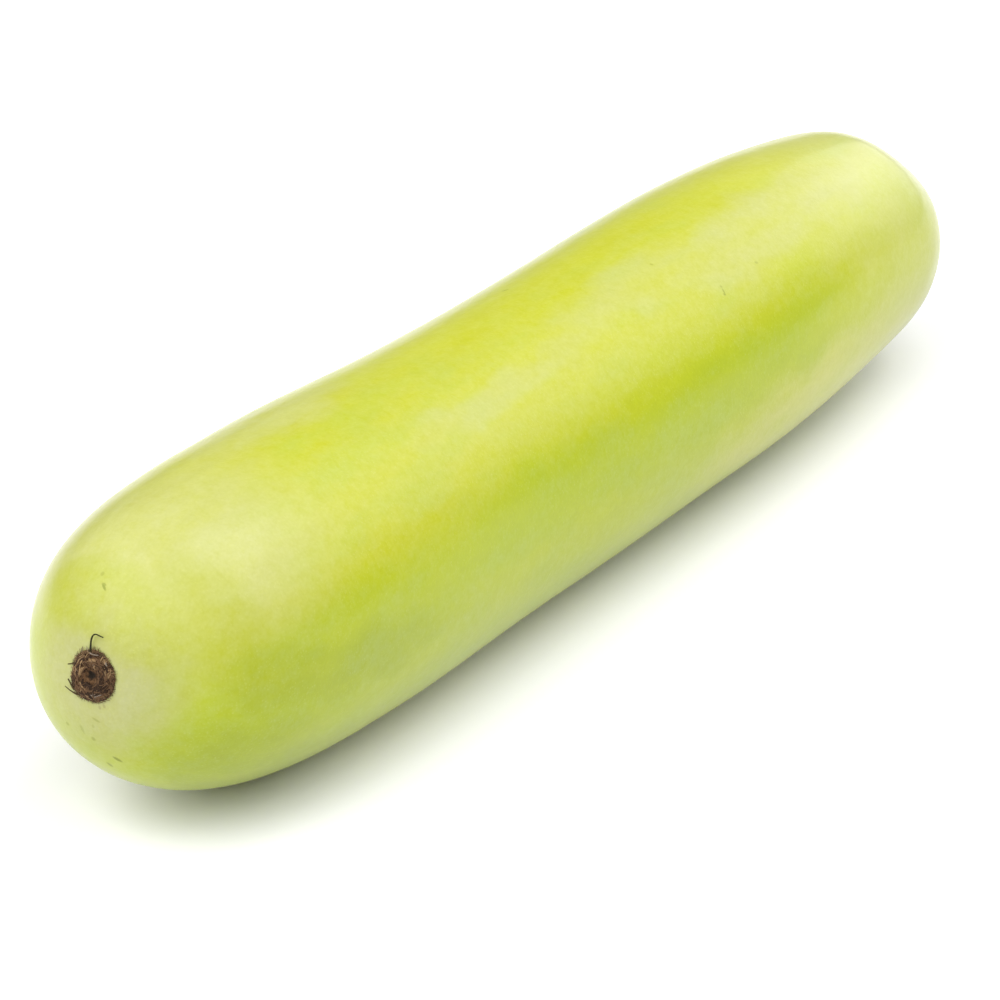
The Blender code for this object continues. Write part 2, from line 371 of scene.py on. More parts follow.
@dataclass(frozen=True)
class FruitForm:
    """The form of the fruit, from nine even sections along its length and two rounded ends."""

    length: float = 0.393
    flat_depth: float = 0.0008
    section_radii: tuple[float, ...] = (
        0.0480, 0.0425, 0.0424, 0.0409, 0.0403, 0.0401, 0.0395, 0.0353, 0.0282,
    )
    section_sideways: tuple[float, ...] = (
        -0.0015, 0.0005, 0.0006, 0.0007, 0.0001, -0.0001, -0.0002, 0.0001, -0.0004,
    )
    section_heights: tuple[float, ...] = (
        0.0540, 0.0458, 0.0432, 0.0414, 0.0403, 0.0404, 0.0402, 0.0394, 0.0370,
    )
    blossom_cap: float = 0.078
    blossom_fullness: float = 2.5
    stalk_cap: float = 0.039
    stalk_fullness: float = 2.7
    shoulder_share: float = 0.960
    shoulder_angle: float = math.radians(119)
    shoulder_length: float = 0.010
    shoulder_width: float = math.radians(30)
    shoulder_depth: float = 0.0015
    blossom_dip_depth: float = 0.0006
    blossom_dip_radius: float = 0.010
    stalk_dip_depth: float = 0.0012
    stalk_dip_radius: float = 0.013
    end_step: float = 0.002
    spot_step: float = 0.001

    @staticmethod
    def curve(values: tuple[float, ...], shares: np.ndarray) -> np.ndarray:
        """A natural cubic curve through evenly spaced values.

        Args:
            values: The values that it passes through.
            shares: Where it is read, from 0 at the first value to 1 at the last.

        Returns:
            The curve's value at each share.
        """
        count = len(values)
        bends = np.zeros(count)
        system = 4 * np.eye(count - 2) + np.eye(count - 2, k=1) + np.eye(count - 2, k=-1)
        bends[1:-1] = np.linalg.solve(system, 6 * np.diff(values, 2))
        place = np.asarray(shares) * (count - 1)
        first = np.clip(place.astype(int), 0, count - 2)
        after = place - first
        before = 1 - after
        level = before * np.take(values, first) + after * np.take(values, first + 1)
        bend_before = (before**3 - before) * bends[first]
        bend_after = (after**3 - after) * bends[first + 1]
        return level + (bend_before + bend_after) / 6

    def radii(self, shares: np.ndarray) -> np.ndarray:
        """The fruit's radius along its length.

        Args:
            shares: Places along the fruit, from 0 at the blossom end to 1 at the stalk end.

        Returns:
            The radius at each, which falls to 0 at the rounded ends.
        """
        along = shares * self.length
        blossom = np.clip(1 - along / self.blossom_cap, 0, 1) ** self.blossom_fullness
        stalk = np.clip(1 - (self.length - along) / self.stalk_cap, 0, 1) ** self.stalk_fullness
        return self.curve(self.section_radii, shares) * np.sqrt((1 - blossom) * (1 - stalk))

    def centres(self, shares: np.ndarray) -> np.ndarray:
        """The centreline of the fruit.

        Args:
            shares: Places along the fruit.

        Returns:
            The centreline's point at each.
        """
        sideways = self.curve(self.section_sideways, shares)
        heights = self.curve(self.section_heights, shares) - self.flat_depth
        return np.stack([(shares - 0.5) * self.length, sideways, heights], axis=1)

    def shoulder(self, shares: np.ndarray, angles: np.ndarray, radii: np.ndarray) -> np.ndarray:
        """How far the soft flat on the shoulder sinks the rind.

        Args:
            shares: The rings' places along the fruit.
            angles: The points' places round each ring.
            radii: The rings' radii.

        Returns:
            The depth at each point, by ring and by place round it.
        """
        along = (shares - self.shoulder_share) * self.length / self.shoulder_length
        turn = (angles - self.shoulder_angle + math.pi) % (2 * math.pi) - math.pi
        fade = np.minimum(radii / self.section_radii[-1], 1.0)
        lengthwise = fade * bell(along, 0.0, 1.0)
        return self.shoulder_depth * lengthwise[:, None] * bell(turn, 0.0, self.shoulder_width)[None]

    def dips(self, shares: np.ndarray, radii: np.ndarray) -> np.ndarray:
        """How far the dips round the scar and round the stalk sink the rind.

        Args:
            shares: The rings' places along the fruit.
            radii: The rings' radii.

        Returns:
            How far each ring moves along the fruit, towards the stalk end.
        """
        blossom = self.blossom_dip_depth * bell(radii, 0.0, self.blossom_dip_radius)
        stalk = self.stalk_dip_depth * bell(radii, 0.0, self.stalk_dip_radius)
        return np.where(shares < 0.5, blossom, -stalk)

    @staticmethod
    def ring_axes(along: np.ndarray) -> tuple[np.ndarray, np.ndarray]:
        """The axes of rings that stand square to the centreline.

        Args:
            along: The centreline's direction at each ring, or one direction.

        Returns:
            The rings' sideways axes and their upward axes.
        """
        side = np.cross((0.0, 0.0, 1.0), along)
        side /= np.linalg.norm(side, axis=-1)[..., None]
        return side, np.cross(along, side)

    def rings(self, shares: np.ndarray, angles: np.ndarray) -> np.ndarray:
        """The rind as a grid of points.

        Args:
            shares: The rings' places along the fruit, at least two of them, in order.
            angles: The points' places round each ring, from the side at 0 over the top.

        Returns:
            The points, by ring and by place round it.
        """
        centres = self.centres(shares)
        radii = self.radii(shares)
        along = np.gradient(centres, axis=0)
        along /= np.linalg.norm(along, axis=1)[:, None]
        side, upward = self.ring_axes(along)
        middles = centres + along * self.dips(shares, radii)[:, None]
        reach = radii[:, None] - self.shoulder(shares, angles, radii)
        out = np.cos(angles)[None, :, None] * side[:, None]
        out = out + np.sin(angles)[None, :, None] * upward[:, None]
        return middles[:, None] + reach[:, :, None] * out

    def frame_at(self, end: End) -> Matrix:
        """The frame of one end.

        Args:
            end: Which end.

        Returns:
            Its matrix, with the origin on the rind's pole, Y up and Z out of the fruit.
        """
        blossom = end is End.BLOSSOM
        shares = np.array([0.0, self.end_step]) if blossom else np.array([1 - self.end_step, 1.0])
        centres = self.centres(shares)
        along = centres[1] - centres[0]
        along /= np.linalg.norm(along)
        side, upward = self.ring_axes(along)
        turned = -1 if blossom else 1
        at_pole = 0 if blossom else 1
        dip = float(self.dips(shares, np.zeros(2))[at_pole])
        made = Matrix((turned * side, upward, turned * along)).transposed().to_4x4()
        made.translation = Vector(centres[at_pole] + along * dip)
        return made

    def spot(self, share: float, angle: float) -> tuple[Vector, Vector, Vector]:
        """One place on the rind.

        Args:
            share: Its share of the fruit's length, from the blossom end.
            angle: Its angle round the fruit, in degrees, from the side over the top.

        Returns:
            The point, the direction along the rind, and the direction round it.
        """
        step = self.spot_step
        turn = math.radians(angle)
        shares = share + step * np.arange(3)
        grid = self.rings(shares, np.array([turn, turn + step]))
        point = Vector(grid[0, 0])
        along = (Vector(grid[1, 0]) - point).normalized()
        across = (Vector(grid[0, 1]) - point).normalized()
        return point, along, across


# Meshes


def shell(name: str, rows: np.ndarray) -> bpy.types.Mesh:
    """A closed smooth mesh through rings of points, with a fan over each end.

    Args:
        name: The mesh's name.
        rows: The points, by ring and by place round it.

    Returns:
        The mesh.
    """
    count, sides = rows.shape[:2]
    points = np.concatenate([rows.reshape(-1, 3), rows[:1].mean(1), rows[-1:].mean(1)])
    here = np.arange(sides)
    after = (here + 1) % sides
    faces: list[list[int]] = []
    for k in range(count - 1):
        low, high = k * sides, (k + 1) * sides
        quads = np.stack([low + here, high + here, high + after, low + after], axis=1)
        faces.extend(quads.tolist())
    first, last = count * sides, count * sides + 1
    end = (count - 1) * sides
    faces.extend([first, int(i), int(j)] for i, j in zip(here, after))
    faces.extend([last, end + int(j), end + int(i)] for i, j in zip(here, after))
    mesh = bpy.data.meshes.new(name)
    mesh.from_pydata(points.tolist(), [], faces)
    mesh.shade_smooth()
    return mesh


def outward(rows: np.ndarray) -> np.ndarray:
    """Unit normals of a grid of rings.

    Args:
        rows: The points, by ring and by place round it.

    Returns:
        The normal at each point, which points away from its ring's middle.
    """
    round_ring = np.roll(rows, -1, axis=1) - np.roll(rows, 1, axis=1)
    normals = np.cross(round_ring, np.gradient(rows, axis=0))
    normals /= np.maximum(np.linalg.norm(normals, axis=2), TINY)[..., None]
    inward = ((rows - rows.mean(1, keepdims=True)) * normals).sum((1, 2)) < 0
    normals[inward] *= -1
    return normals


def lumpy(rows: np.ndarray, size: float, stretch: float = 1.0) -> np.ndarray:
    """Soft noise over a grid of points.

    Args:
        rows: The points.
        size: The size of its forms, in metres.
        stretch: How many times longer the forms are along X.

    Returns:
        The noise at each point, about 0 on average.
    """
    flat = rows.reshape(-1, 3) / size
    flat[:, 0] /= stretch
    values = [noise.noise(Vector(point)) for point in flat]
    return np.array(values).reshape(rows.shape[:2])


def piece(name: str, mesh: bpy.types.Mesh, materials: list[bpy.types.Material], slot: Slot,
          node: Node) -> bpy.types.Object:
    """Puts a finished mesh in the scene as a piece of the gourd.

    Args:
        name: The piece's name.
        mesh: Its mesh, in the frame's own coordinates.
        materials: Its materials, in the order of their indices.
        slot: The record's slot that its finish belongs to; it is not used.
        node: The solid that it stands for.

    Returns:
        The piece.
    """
    for material in materials:
        mesh.materials.append(material)
    made = bpy.data.objects.new(name, mesh)
    bpy.context.scene.collection.objects.link(made)
    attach(made, ROOT)
    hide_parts(node.value)
    LOG.info("%s: %d faces", name, len(mesh.polygons))
    return made


class Strands:
    """Many slim tapering tubes in one mesh, each in its own tone."""

    def __init__(self, sides: int) -> None:
        """Starts with no tubes.

        Args:
            sides: How many sides each tube has.
        """
        self.sides = sides
        self.points: list[np.ndarray] = []
        self.faces: list[list[int]] = []
        self.tones: list[int] = []
        self.count = 0

    def add(self, line: np.ndarray, thickness: float, taper: float, tone: Tone) -> None:
        """Adds one tube.

        Args:
            line: The points that it follows, from its root to its tip.
            thickness: Its diameter at the root.
            taper: The share of that diameter that is gone at the tip.
            tone: Its shade.
        """
        along = np.gradient(line, axis=0)
        along /= np.linalg.norm(along, axis=1)[:, None]
        across = np.cross(along[0], OBLIQUE)
        circle = spokes(turns(self.sides))
        shares = np.linspace(0, 1, len(line))
        for k, (point, ahead) in enumerate(zip(line, along)):
            across = across - ahead * np.dot(across, ahead)
            across /= np.linalg.norm(across)
            other = np.cross(ahead, across)
            radius = thickness / 2 * (1 - taper * shares[k])
            ring = circle[:, :1] * across + circle[:, 1:] * other
            self.points.append(point + radius * ring)
        self._close(len(line), tone)

    def _close(self, rings: int, tone: Tone) -> None:
        """Adds the faces of the tube whose rings were added last.

        Args:
            rings: How many rings it has.
            tone: Its shade.
        """
        base, sides = self.count, self.sides
        before = len(self.faces)
        for k in range(rings - 1):
            for i in range(sides):
                j = (i + 1) % sides
                low, high = base + k * sides, base + (k + 1) * sides
                self.faces.append([low + i, low + j, high + j, high + i])
        self.faces.append([base + i for i in reversed(range(sides))])
        self.faces.append([base + (rings - 1) * sides + i for i in range(sides)])
        self.tones += [tone.value] * (len(self.faces) - before)
        self.count += rings * sides

    def mesh(self, name: str, place: Matrix) -> bpy.types.Mesh:
        """The tubes as one smooth mesh.

        Args:
            name: The mesh's name.
            place: The matrix that takes the tubes' own frame to the gourd's.

        Returns:
            The mesh.
        """
        made = bpy.data.meshes.new(name)
        made.from_pydata(np.concatenate(self.points).tolist(), [], self.faces)
        made.polygons.foreach_set("material_index", self.tones)
        made.transform(place)
        made.shade_smooth()
        return made


# Finishes


def swung(level: Value | float, *parts: tuple[Value, float]) -> Value:
    """A number that noises swing up and down.

    Args:
        level: The number that it swings about.
        parts: The noises, each with its swing between its extremes.

    Returns:
        The number at each point.
    """
    for part, swing in parts:
        level = level + (part - 0.5) * swing
    return level


@dataclass(frozen=True)
class Mark:
    """A mark or patch in the rind: where it is, how it lies and how strong it is."""

    share: float
    angle: float
    turn: float
    length: float
    width: float
    strength: float
    faded_at: ClassVar[float] = 1.5
    full_within: ClassVar[float] = 0.15

    def mask(self, graph: Graph, place: bpy.types.NodeSocket, form: FruitForm) -> Value:
        """The mark's strength over the rind.

        Args:
            graph: The graph that it is drawn in.
            place: The point on the surface.
            form: The fruit that carries it.

        Returns:
            A number that is the mark's strength in its middle and fades to 0 at its edge.
        """
        point, along, across = form.spot(self.share, self.angle)
        turn = math.radians(self.turn)
        lie = along * math.cos(turn) + across * math.sin(turn)
        drawn_out = math.sqrt(1 - (self.width / self.length) ** 2)
        offset = graph.less(place, tuple(point))
        ahead = graph.dot(offset, tuple(lie * drawn_out))
        away = graph.dot(offset, offset) - ahead * ahead
        edge = (self.width / 2) ** 2
        return away.rise(self.faded_at * edge, self.full_within * edge, self.strength)


@dataclass(frozen=True)
class RindFinish:
    """The rind: pale yellow-green under a thin wax, with drawn-out mottling and fine pores.

    A span holds the height, distance or noise where a layer starts, and the one where it is full.
    """

    sunny: Colour = (0.432, 0.452, 0.026)
    shaded: Colour = (0.385, 0.443, 0.009)
    deep: Colour = (0.340, 0.412, 0.006)
    vivid: Colour = (0.450, 0.472, 0.006)
    # Partly painted light: a paler colour for patches where the rind is lifted as if more brightly
    # lit
    bright: Colour = (0.480, 0.490, 0.078)
    dull: Colour = (0.355, 0.385, 0.022)
    dusky: Colour = (0.285, 0.345, 0.004)
    cream: Colour = (0.440, 0.452, 0.145)
    halo: Colour = (0.372, 0.376, 0.150)
    pore: Colour = (0.515, 0.535, 0.125)
    # Painted floor bounce: the colour laid on the lowest band of the rind for the light that the
    # floor throws up
    painted_floor_bounce: Colour = (0.440, 0.465, 0.025)
    fleck_olive: Colour = (0.165, 0.200, 0.008)
    fleck_brown: Colour = (0.110, 0.070, 0.035)
    long_draw: float = 0.40
    longer_draw: float = 0.14
    warp_size: float = 0.020
    warp_reach: float = 0.016
    cloud_size: float = 0.026
    mottle_size: float = 0.0080
    streak_size: float = 0.0036
    speck_size: float = 0.0028
    grain_size: float = 0.0009
    pore_size: float = 0.00080
    pore_span: Span = (0.42, 0.12)
    pore_chance: Span = (0.2, 0.7)
    broken_span: Span = (0.20, 0.65)
    shade_span: Span = (0.071, 0.050)
    blotch_span: Span = (0.46, 0.66)
    blotch_strength: float = 0.45
    # The crown zone is partly paler rind and partly a painted highlight where the lamps' reflection
    # sits on the blossom end
    crown_pale_and_highlight_place: Span = (0.065, 104)
    crown_pale_and_highlight_span: Span = (0.052, 0.010)
    crown_pale_and_highlight_strength: float = 0.85
    # The stalk-end zone is partly paler rind and partly a painted reflection of the pale
    # surroundings
    stalk_pale_and_reflection_span: Span = (0.100, 0.025)
    stalk_pale_and_reflection_strength: float = 0.50
    halo_span: Span = (0.032, 0.010)
    halo_strength: float = 0.9
    painted_floor_bounce_span: Span = (0.010, 0.002)
    painted_floor_bounce_strength: float = 0.4
    pore_strength: float = 0.18
    lightness: float = 0.97
    roughness: float = 0.42
    relief_depth: float = 0.00006
    deep_patches: tuple[Mark, ...] = (
        Mark(0.160, 170, 5, 0.090, 0.026, 0.60),
        Mark(0.390, 167, 0, 0.130, 0.022, 0.90),
        Mark(0.620, 168, 0, 0.140, 0.024, 0.90),
        Mark(0.110, 212, 0, 0.090, 0.044, 0.90),
        Mark(0.170, 182, 0, 0.060, 0.024, 0.75),
        Mark(0.300, 212, 0, 0.170, 0.026, 0.80),
        Mark(0.085, 230, 90, 0.055, 0.046, 1.00),
    )
    vivid_patches: tuple[Mark, ...] = (
        Mark(0.130, 76, 0, 0.060, 0.024, 0.85),
        Mark(0.380, 74, 0, 0.150, 0.024, 0.60),
        Mark(0.580, 76, 0, 0.120, 0.022, 0.60),
        Mark(0.790, 88, 0, 0.090, 0.016, 0.60),
        Mark(0.840, 168, 0, 0.100, 0.020, 0.50),
    )
    pale_patches: tuple[Mark, ...] = (
        Mark(0.050, 60, 90, 0.090, 0.034, 0.80),
        Mark(0.750, 118, 0, 0.130, 0.022, 0.65),
        Mark(0.058, 112, 90, 0.044, 0.026, 0.60),
        Mark(0.225, 77, 0, 0.060, 0.022, 0.60),
        Mark(0.400, 121, 0, 0.100, 0.012, 0.45),
        Mark(0.580, 112, 0, 0.080, 0.018, 0.45),
    )
    # Brighter patches, partly paler rind and partly painted light on the far half, where the lamps
    # leave the rind dark
    pale_and_painted_light_patches: tuple[Mark, ...] = (
        Mark(0.840, 72, 0, 0.100, 0.030, 0.45),
        Mark(0.760, 203, 0, 0.150, 0.036, 0.90),
        Mark(0.830, 148, 0, 0.060, 0.018, 0.50),
    )
    dull_patches: tuple[Mark, ...] = (
        Mark(0.012, 95, 90, 0.070, 0.024, 0.70),
        Mark(0.040, 144, 90, 0.044, 0.024, 0.50),
    )
    dusky_patches: tuple[Mark, ...] = (
        Mark(0.088, 228, 0, 0.085, 0.036, 0.80),
        Mark(0.110, 180, 0, 0.100, 0.018, 0.60),
    )
    olive_flecks: tuple[Mark, ...] = (
        Mark(0.0168, 81.0, 140, 0.0027, 0.0008, 0.75),
        Mark(0.0177, 80.5, 110, 0.0017, 0.0009, 0.55),
        Mark(0.0222, 77.0, 0, 0.0014, 0.0012, 0.35),
        Mark(0.0130, 301, 60, 0.0013, 0.0012, 0.45),
        Mark(0.0100, 286, -30, 0.0030, 0.0011, 0.30),
        Mark(0.0050, 268, 110, 0.0026, 0.0008, 0.40),
        Mark(0.0070, 273, 10, 0.0012, 0.0009, 0.25),
        Mark(0.0120, 275, 10, 0.0016, 0.0013, 0.45),
        Mark(0.0270, 270, -25, 0.0024, 0.0013, 0.65),
        Mark(0.0210, 261, -42, 0.0030, 0.0013, 0.80),
        Mark(0.6440, 133.6, 104, 0.0022, 0.0007, 0.55),
        Mark(0.6450, 131.5, 60, 0.0010, 0.0008, 0.35),
        Mark(0.6428, 134.8, 60, 0.0010, 0.0009, 0.60),
        Mark(0.6930, 131, 20, 0.0014, 0.0009, 0.35),
        Mark(0.6110, 108, 60, 0.0012, 0.0009, 0.35),
        Mark(0.5140, 75, 30, 0.0022, 0.0010, 0.45),
    )
    brown_flecks: tuple[Mark, ...] = (
        Mark(0.0024, 258, 0, 0.0012, 0.0009, 0.30),
        Mark(0.0022, 248, 0, 0.0013, 0.0009, 0.30),
    )

    def material(self, form: FruitForm) -> bpy.types.Material:
        """Makes the rind's material for a fruit."""
        return RindPainter(self, form).material()


class RindPainter:
    """Paints the rind, one layer over another."""

    def __init__(self, finish: RindFinish, form: FruitForm) -> None:
        """Draws what varies over the rind, with its wide forms longer along the fruit.

        Args:
            finish: The rind's paints and where they lie.
            form: The fruit, for where its ends and marks are.
        """
        self.finish = finish
        self.form = form
        self.graph = graph = Graph("waxy_rind")
        self.place = place = graph.place()
        long = graph.stretched(place, (finish.long_draw, 1.0, 1.0))
        longer = graph.stretched(place, (finish.longer_draw, 1.0, 1.0))
        self.moved = graph.warped(place, finish.warp_size, finish.warp_reach)
        self.height = graph.dot(place, (0, 0, 1))
        self.clouds = graph.noise(long, finish.cloud_size, 2.0)
        self.mottle = graph.noise(long, finish.mottle_size, 3.0)
        self.streaks = graph.noise(longer, finish.streak_size, 2.0)
        self.specks = graph.noise(place, finish.speck_size, 2.0)
        self.grain = graph.noise(place, finish.grain_size, 1.0)
        distance, chance = graph.cells(place, finish.pore_size)
        self.pores = distance.rise(*finish.pore_span) * chance.rise(*finish.pore_chance)
        self.broken = self.mottle.rise(*finish.broken_span) * 0.5 + 0.5
        self.colour: Feed = finish.sunny

    def lay(self, share: Value, paint: Colour) -> None:
        """Lays a paint over what is there."""
        self.colour = self.graph.mixed(share, self.colour, paint)

    def strongest(self, place: bpy.types.NodeSocket, marks: tuple[Mark, ...]) -> Value:
        """The strongest of several marks at a point."""
        return reduce(Value.larger, [mark.mask(self.graph, place, self.form) for mark in marks])

    def patch(self, marks: tuple[Mark, ...], paint: Colour) -> None:
        """Lays one paint in soft patches that the mottling breaks up."""
        self.lay(self.strongest(self.moved, marks) * self.broken, paint)

    def near(self, spot: Vector, span: Span, strength: float, *ragged: tuple[Value, float]
             ) -> Value:
        """A zone round one place on the rind.

        Args:
            spot: The place.
            span: The distances where the zone ends and where it is full.
            strength: Its strength where it is full.
            ragged: What makes its edge ragged.

        Returns:
            The zone's strength at each point.
        """
        distance = self.graph.distance(self.place, tuple(spot))
        return swung(distance, *ragged).rise(*span, strength)

    def ground_coat(self) -> None:
        """Lays the sunny and the shaded side and the blotches along the fruit."""
        finish = self.finish
        height = swung(self.height, (self.clouds, 0.030), (self.mottle, 0.012))
        self.lay(height.rise(*finish.shade_span), finish.shaded)
        blotches = self.clouds * 0.4 + self.mottle * 0.45 + self.streaks * 0.15
        self.lay(blotches.rise(*finish.blotch_span, finish.blotch_strength), finish.deep)

    def patches(self) -> None:
        """Lays the large patches, and between them the zones of both ends, which are partly paler
        rind and partly a painted highlight and a painted reflection.
        """
        finish = self.finish
        self.patch(finish.deep_patches, finish.deep)
        self.patch(finish.vivid_patches, finish.vivid)
        self.patch(finish.pale_patches, finish.cream)
        # Lays the brighter patches, which are partly painted light
        self.patch(finish.pale_and_painted_light_patches, finish.bright)
        self.zones()
        self.patch(finish.dull_patches, finish.dull)
        self.patch(finish.dusky_patches, finish.dusky)

    def zones(self) -> None:
        """Lays the crown and the stalk end, each paler rind in part, with a painted highlight on the
        crown and a painted reflection on the stalk end, and the scar's halo.
        """
        finish, form = self.finish, self.form
        scar, stalk = (form.frame_at(end).translation for end in (End.BLOSSOM, End.STALK))
        crown = form.spot(*finish.crown_pale_and_highlight_place)[0]
        ragged = (self.mottle, 0.020), (self.clouds, 0.030)
        # Partly painted highlight: the pale crown over the blossom end
        pale_and_highlight_crown = self.near(crown, finish.crown_pale_and_highlight_span, finish.crown_pale_and_highlight_strength, *ragged)
        # Partly painted reflection: the pale stalk end
        pale_and_reflection_stalk_end = self.near(stalk, finish.stalk_pale_and_reflection_span, finish.stalk_pale_and_reflection_strength, *ragged)
        near_scar = self.near(scar, finish.halo_span, finish.halo_strength, (self.mottle, 0.010))
        self.lay(pale_and_highlight_crown.larger(pale_and_reflection_stalk_end), finish.cream)
        self.lay(near_scar, finish.halo)

    def fine_layers(self) -> None:
        """Lays the painted light that the floor throws up onto the lowest band of the rind, then the
        pores and the fine grain.
        """
        finish, graph = self.finish, self.graph
        low = swung(self.height, (self.clouds, 0.012))
        # Paints the light that the floor throws up onto the lowest band of the rind
        self.lay(low.rise(*finish.painted_floor_bounce_span, finish.painted_floor_bounce_strength), finish.painted_floor_bounce)
        self.lay(self.pores * finish.pore_strength, finish.pore)
        fine = (self.grain, 0.11), (self.specks, 0.11), (self.mottle, 0.06), (self.streaks, 0.06)
        blue = (self.grain, 0.022), (self.specks, 0.060), (self.mottle, 0.070), (self.clouds, 0.040)
        self.colour = graph.toned(self.colour, swung(finish.lightness, *fine))
        self.colour = graph.paled(self.colour, swung(0.0, *blue))

    def material(self) -> bpy.types.Material:
        """Paints every layer and makes the rind's material.

        Returns:
            The material.
        """
        finish = self.finish
        self.ground_coat()
        self.patches()
        self.fine_layers()
        olive = self.strongest(self.place, finish.olive_flecks)
        self.lay(olive, finish.fleck_olive)
        self.lay(self.strongest(self.place, finish.brown_flecks), finish.fleck_brown)
        roughness = swung(finish.roughness, (self.mottle, 0.16))
        relief = self.grain * 0.6 + self.pores * 0.3 + self.mottle * 0.5
        return self.graph.finish({
            "Base Color": self.colour,
            "Roughness": roughness + self.pores * 0.05 + olive * 0.2,
            "Normal": self.graph.bump(relief, finish.relief_depth),
            "IOR": 1.37,
            "Coat Weight": 0.80,
            "Coat Roughness": 0.20,
            "Coat IOR": 1.17,
            "Subsurface Weight": 0.12,
            "Subsurface Radius": (1.0, 0.8, 0.25),
            "Subsurface Scale": 0.004,
        })


@dataclass(frozen=True)
class CorkFinish:
    """The scar's cork: dull brown crumbs that darken into the pit."""

    dark: Colour = (0.026, 0.014, 0.007)
    brown: Colour = (0.130, 0.070, 0.032)
    pit: Colour = (0.020, 0.015, 0.010)
    pit_span: Span = (0.0016, 0.0007)
    pit_raggedness: float = 0.0012
    crumb_size: float = 0.0009
    patch_size: float = 0.0035
    brown_span: Span = (0.38, 0.62)
    relief_depth: float = 0.0003

    def material(self, middle: Point) -> bpy.types.Material:
        """Makes the cork's material.

        Args:
            middle: The middle of the pit.

        Returns:
            The material.
        """
        graph = Graph("dry_cork")
        place = graph.place()
        crumbs = graph.noise(place, self.crumb_size, 3.0)
        patches = graph.noise(place, self.patch_size, 2.0)
        shade = (crumbs * 0.6 + patches * 0.4).rise(*self.brown_span)
        colour = graph.mixed(shade, self.dark, self.brown)
        from_pit = swung(graph.distance(place, middle), (crumbs, self.pit_raggedness))
        return graph.finish({
            "Base Color": graph.mixed(from_pit.rise(*self.pit_span), colour, self.pit),
            "Roughness": 0.92,
            "Normal": graph.bump(crumbs, self.relief_depth),
            "Specular IOR Level": 0.15,
        })


@dataclass(frozen=True)
class FibreFinish:
    """Dead plant fibre in one shade, mottled along its length."""

    tone: Tone
    grain_size: float = 0.0007
    grain_depth: float = 0.00005
    darkest: float = 0.55
    contrast: float = 0.9
    colours: ClassVar[dict[Tone, Colour]] = {
        Tone.DARK: (0.034, 0.018, 0.009),
        Tone.BROWN: (0.128, 0.071, 0.034),
        Tone.TAN: (0.290, 0.185, 0.088),
        Tone.STRAW: (0.240, 0.190, 0.140),
        Tone.OLIVE: (0.020, 0.019, 0.005),
        Tone.BARK: (0.062, 0.044, 0.016),
    }

    def material(self) -> bpy.types.Material:
        """Makes the fibre's material.

        Returns:
            The material.
        """
        graph = Graph(f"{self.tone.name.lower()}_fibre")
        grain = graph.noise(graph.place(), self.grain_size, 2.0)
        shade = self.darkest + grain * self.contrast
        return graph.finish({
            "Base Color": graph.toned(self.colours[self.tone], shade),
            "Roughness": 0.75,
            "Normal": graph.bump(grain, self.grain_depth),
            "Specular IOR Level": 0.20,
        })


@dataclass(frozen=True)
class StalkFinish:
    """The stalk: matt green skin that dries pale on its ridges, and a straw-coloured cut."""

    green: Colour = (0.20, 0.26, 0.06)
    dry: Colour = (0.42, 0.38, 0.19)
    rind: Colour = (0.52, 0.60, 0.09)
    pith: Colour = (0.55, 0.48, 0.26)
    heart: Colour = (0.20, 0.14, 0.06)
    line_draw: float = 0.12
    line_size: float = 0.0009
    patch_size: float = 0.004
    dry_span: Span = (0.40, 0.62)
    root_span: Span = (0.0030, -0.0010)
    root_raggedness: float = 0.003
    fibre_size: float = 0.0005
    pith_span: Span = (0.35, 0.65)
    rim_span: Span = (0.0034, 0.0042)
    rim_raggedness: float = 0.0008
    heart_span: Span = (0.0014, 0.0006)
    heart_raggedness: float = 0.0006
    relief_depth: float = 0.0003

    @staticmethod
    def from_pole(graph: Graph, place: bpy.types.NodeSocket, form: FruitForm
                  ) -> tuple[bpy.types.NodeSocket, Value]:
        """Where a point lies from the rind's pole under the stalk.

        Args:
            graph: The graph that it is worked out in.
            place: The point.
            form: The fruit that carries the stalk.

        Returns:
            The point relative to the pole, and its height above it along the stalk's axis.
        """
        pole = form.frame_at(End.STALK)
        offset = graph.less(place, tuple(pole.translation))
        return offset, graph.dot(offset, tuple(pole.to_3x3().col[2]))

    def skin(self, form: FruitForm) -> bpy.types.Material:
        """Makes the material of the stalk's side, which turns to rind colour at its root.

        Args:
            form: The fruit that carries the stalk.

        Returns:
            The material.
        """
        graph = Graph("stalk_skin")
        place = graph.place()
        height = self.from_pole(graph, place, form)[1]
        drawn = graph.stretched(place, (self.line_draw, 1.0, 1.0))
        lines = graph.noise(drawn, self.line_size, 3.0)
        patches = graph.noise(place, self.patch_size, 2.0)
        dried = (lines * 0.6 + patches * 0.4).rise(*self.dry_span)
        colour = graph.mixed(dried, self.green, self.dry)
        root = swung(height, (patches, self.root_raggedness)).rise(*self.root_span)
        return graph.finish({
            "Base Color": graph.mixed(root, colour, self.rind),
            "Roughness": 0.68,
            "Normal": graph.bump(lines, self.relief_depth),
        })

    def cut(self, form: FruitForm) -> bpy.types.Material:
        """Makes the material of the cut face: drying pith with a dark heart.

        Args:
            form: The fruit that carries the stalk.

        Returns:
            The material.
        """
        graph = Graph("stalk_cut")
        place = graph.place()
        offset, height = self.from_pole(graph, place, form)
        from_axis = (graph.dot(offset, offset) - height * height) ** 0.5
        fibres = graph.noise(place, self.fibre_size, 2.0)
        rim = swung(from_axis, (fibres, self.rim_raggedness)).rise(*self.rim_span)
        heart = swung(from_axis, (fibres, self.heart_raggedness)).rise(*self.heart_span)
        colour = graph.mixed(fibres.rise(*self.pith_span), self.pith, self.dry)
        colour = graph.mixed(rim, colour, self.green)
        return graph.finish({
            "Base Color": graph.mixed(heart, colour, self.heart),
            "Roughness": 0.8,
            "Normal": graph.bump(fibres, self.relief_depth),
        })


# Pieces


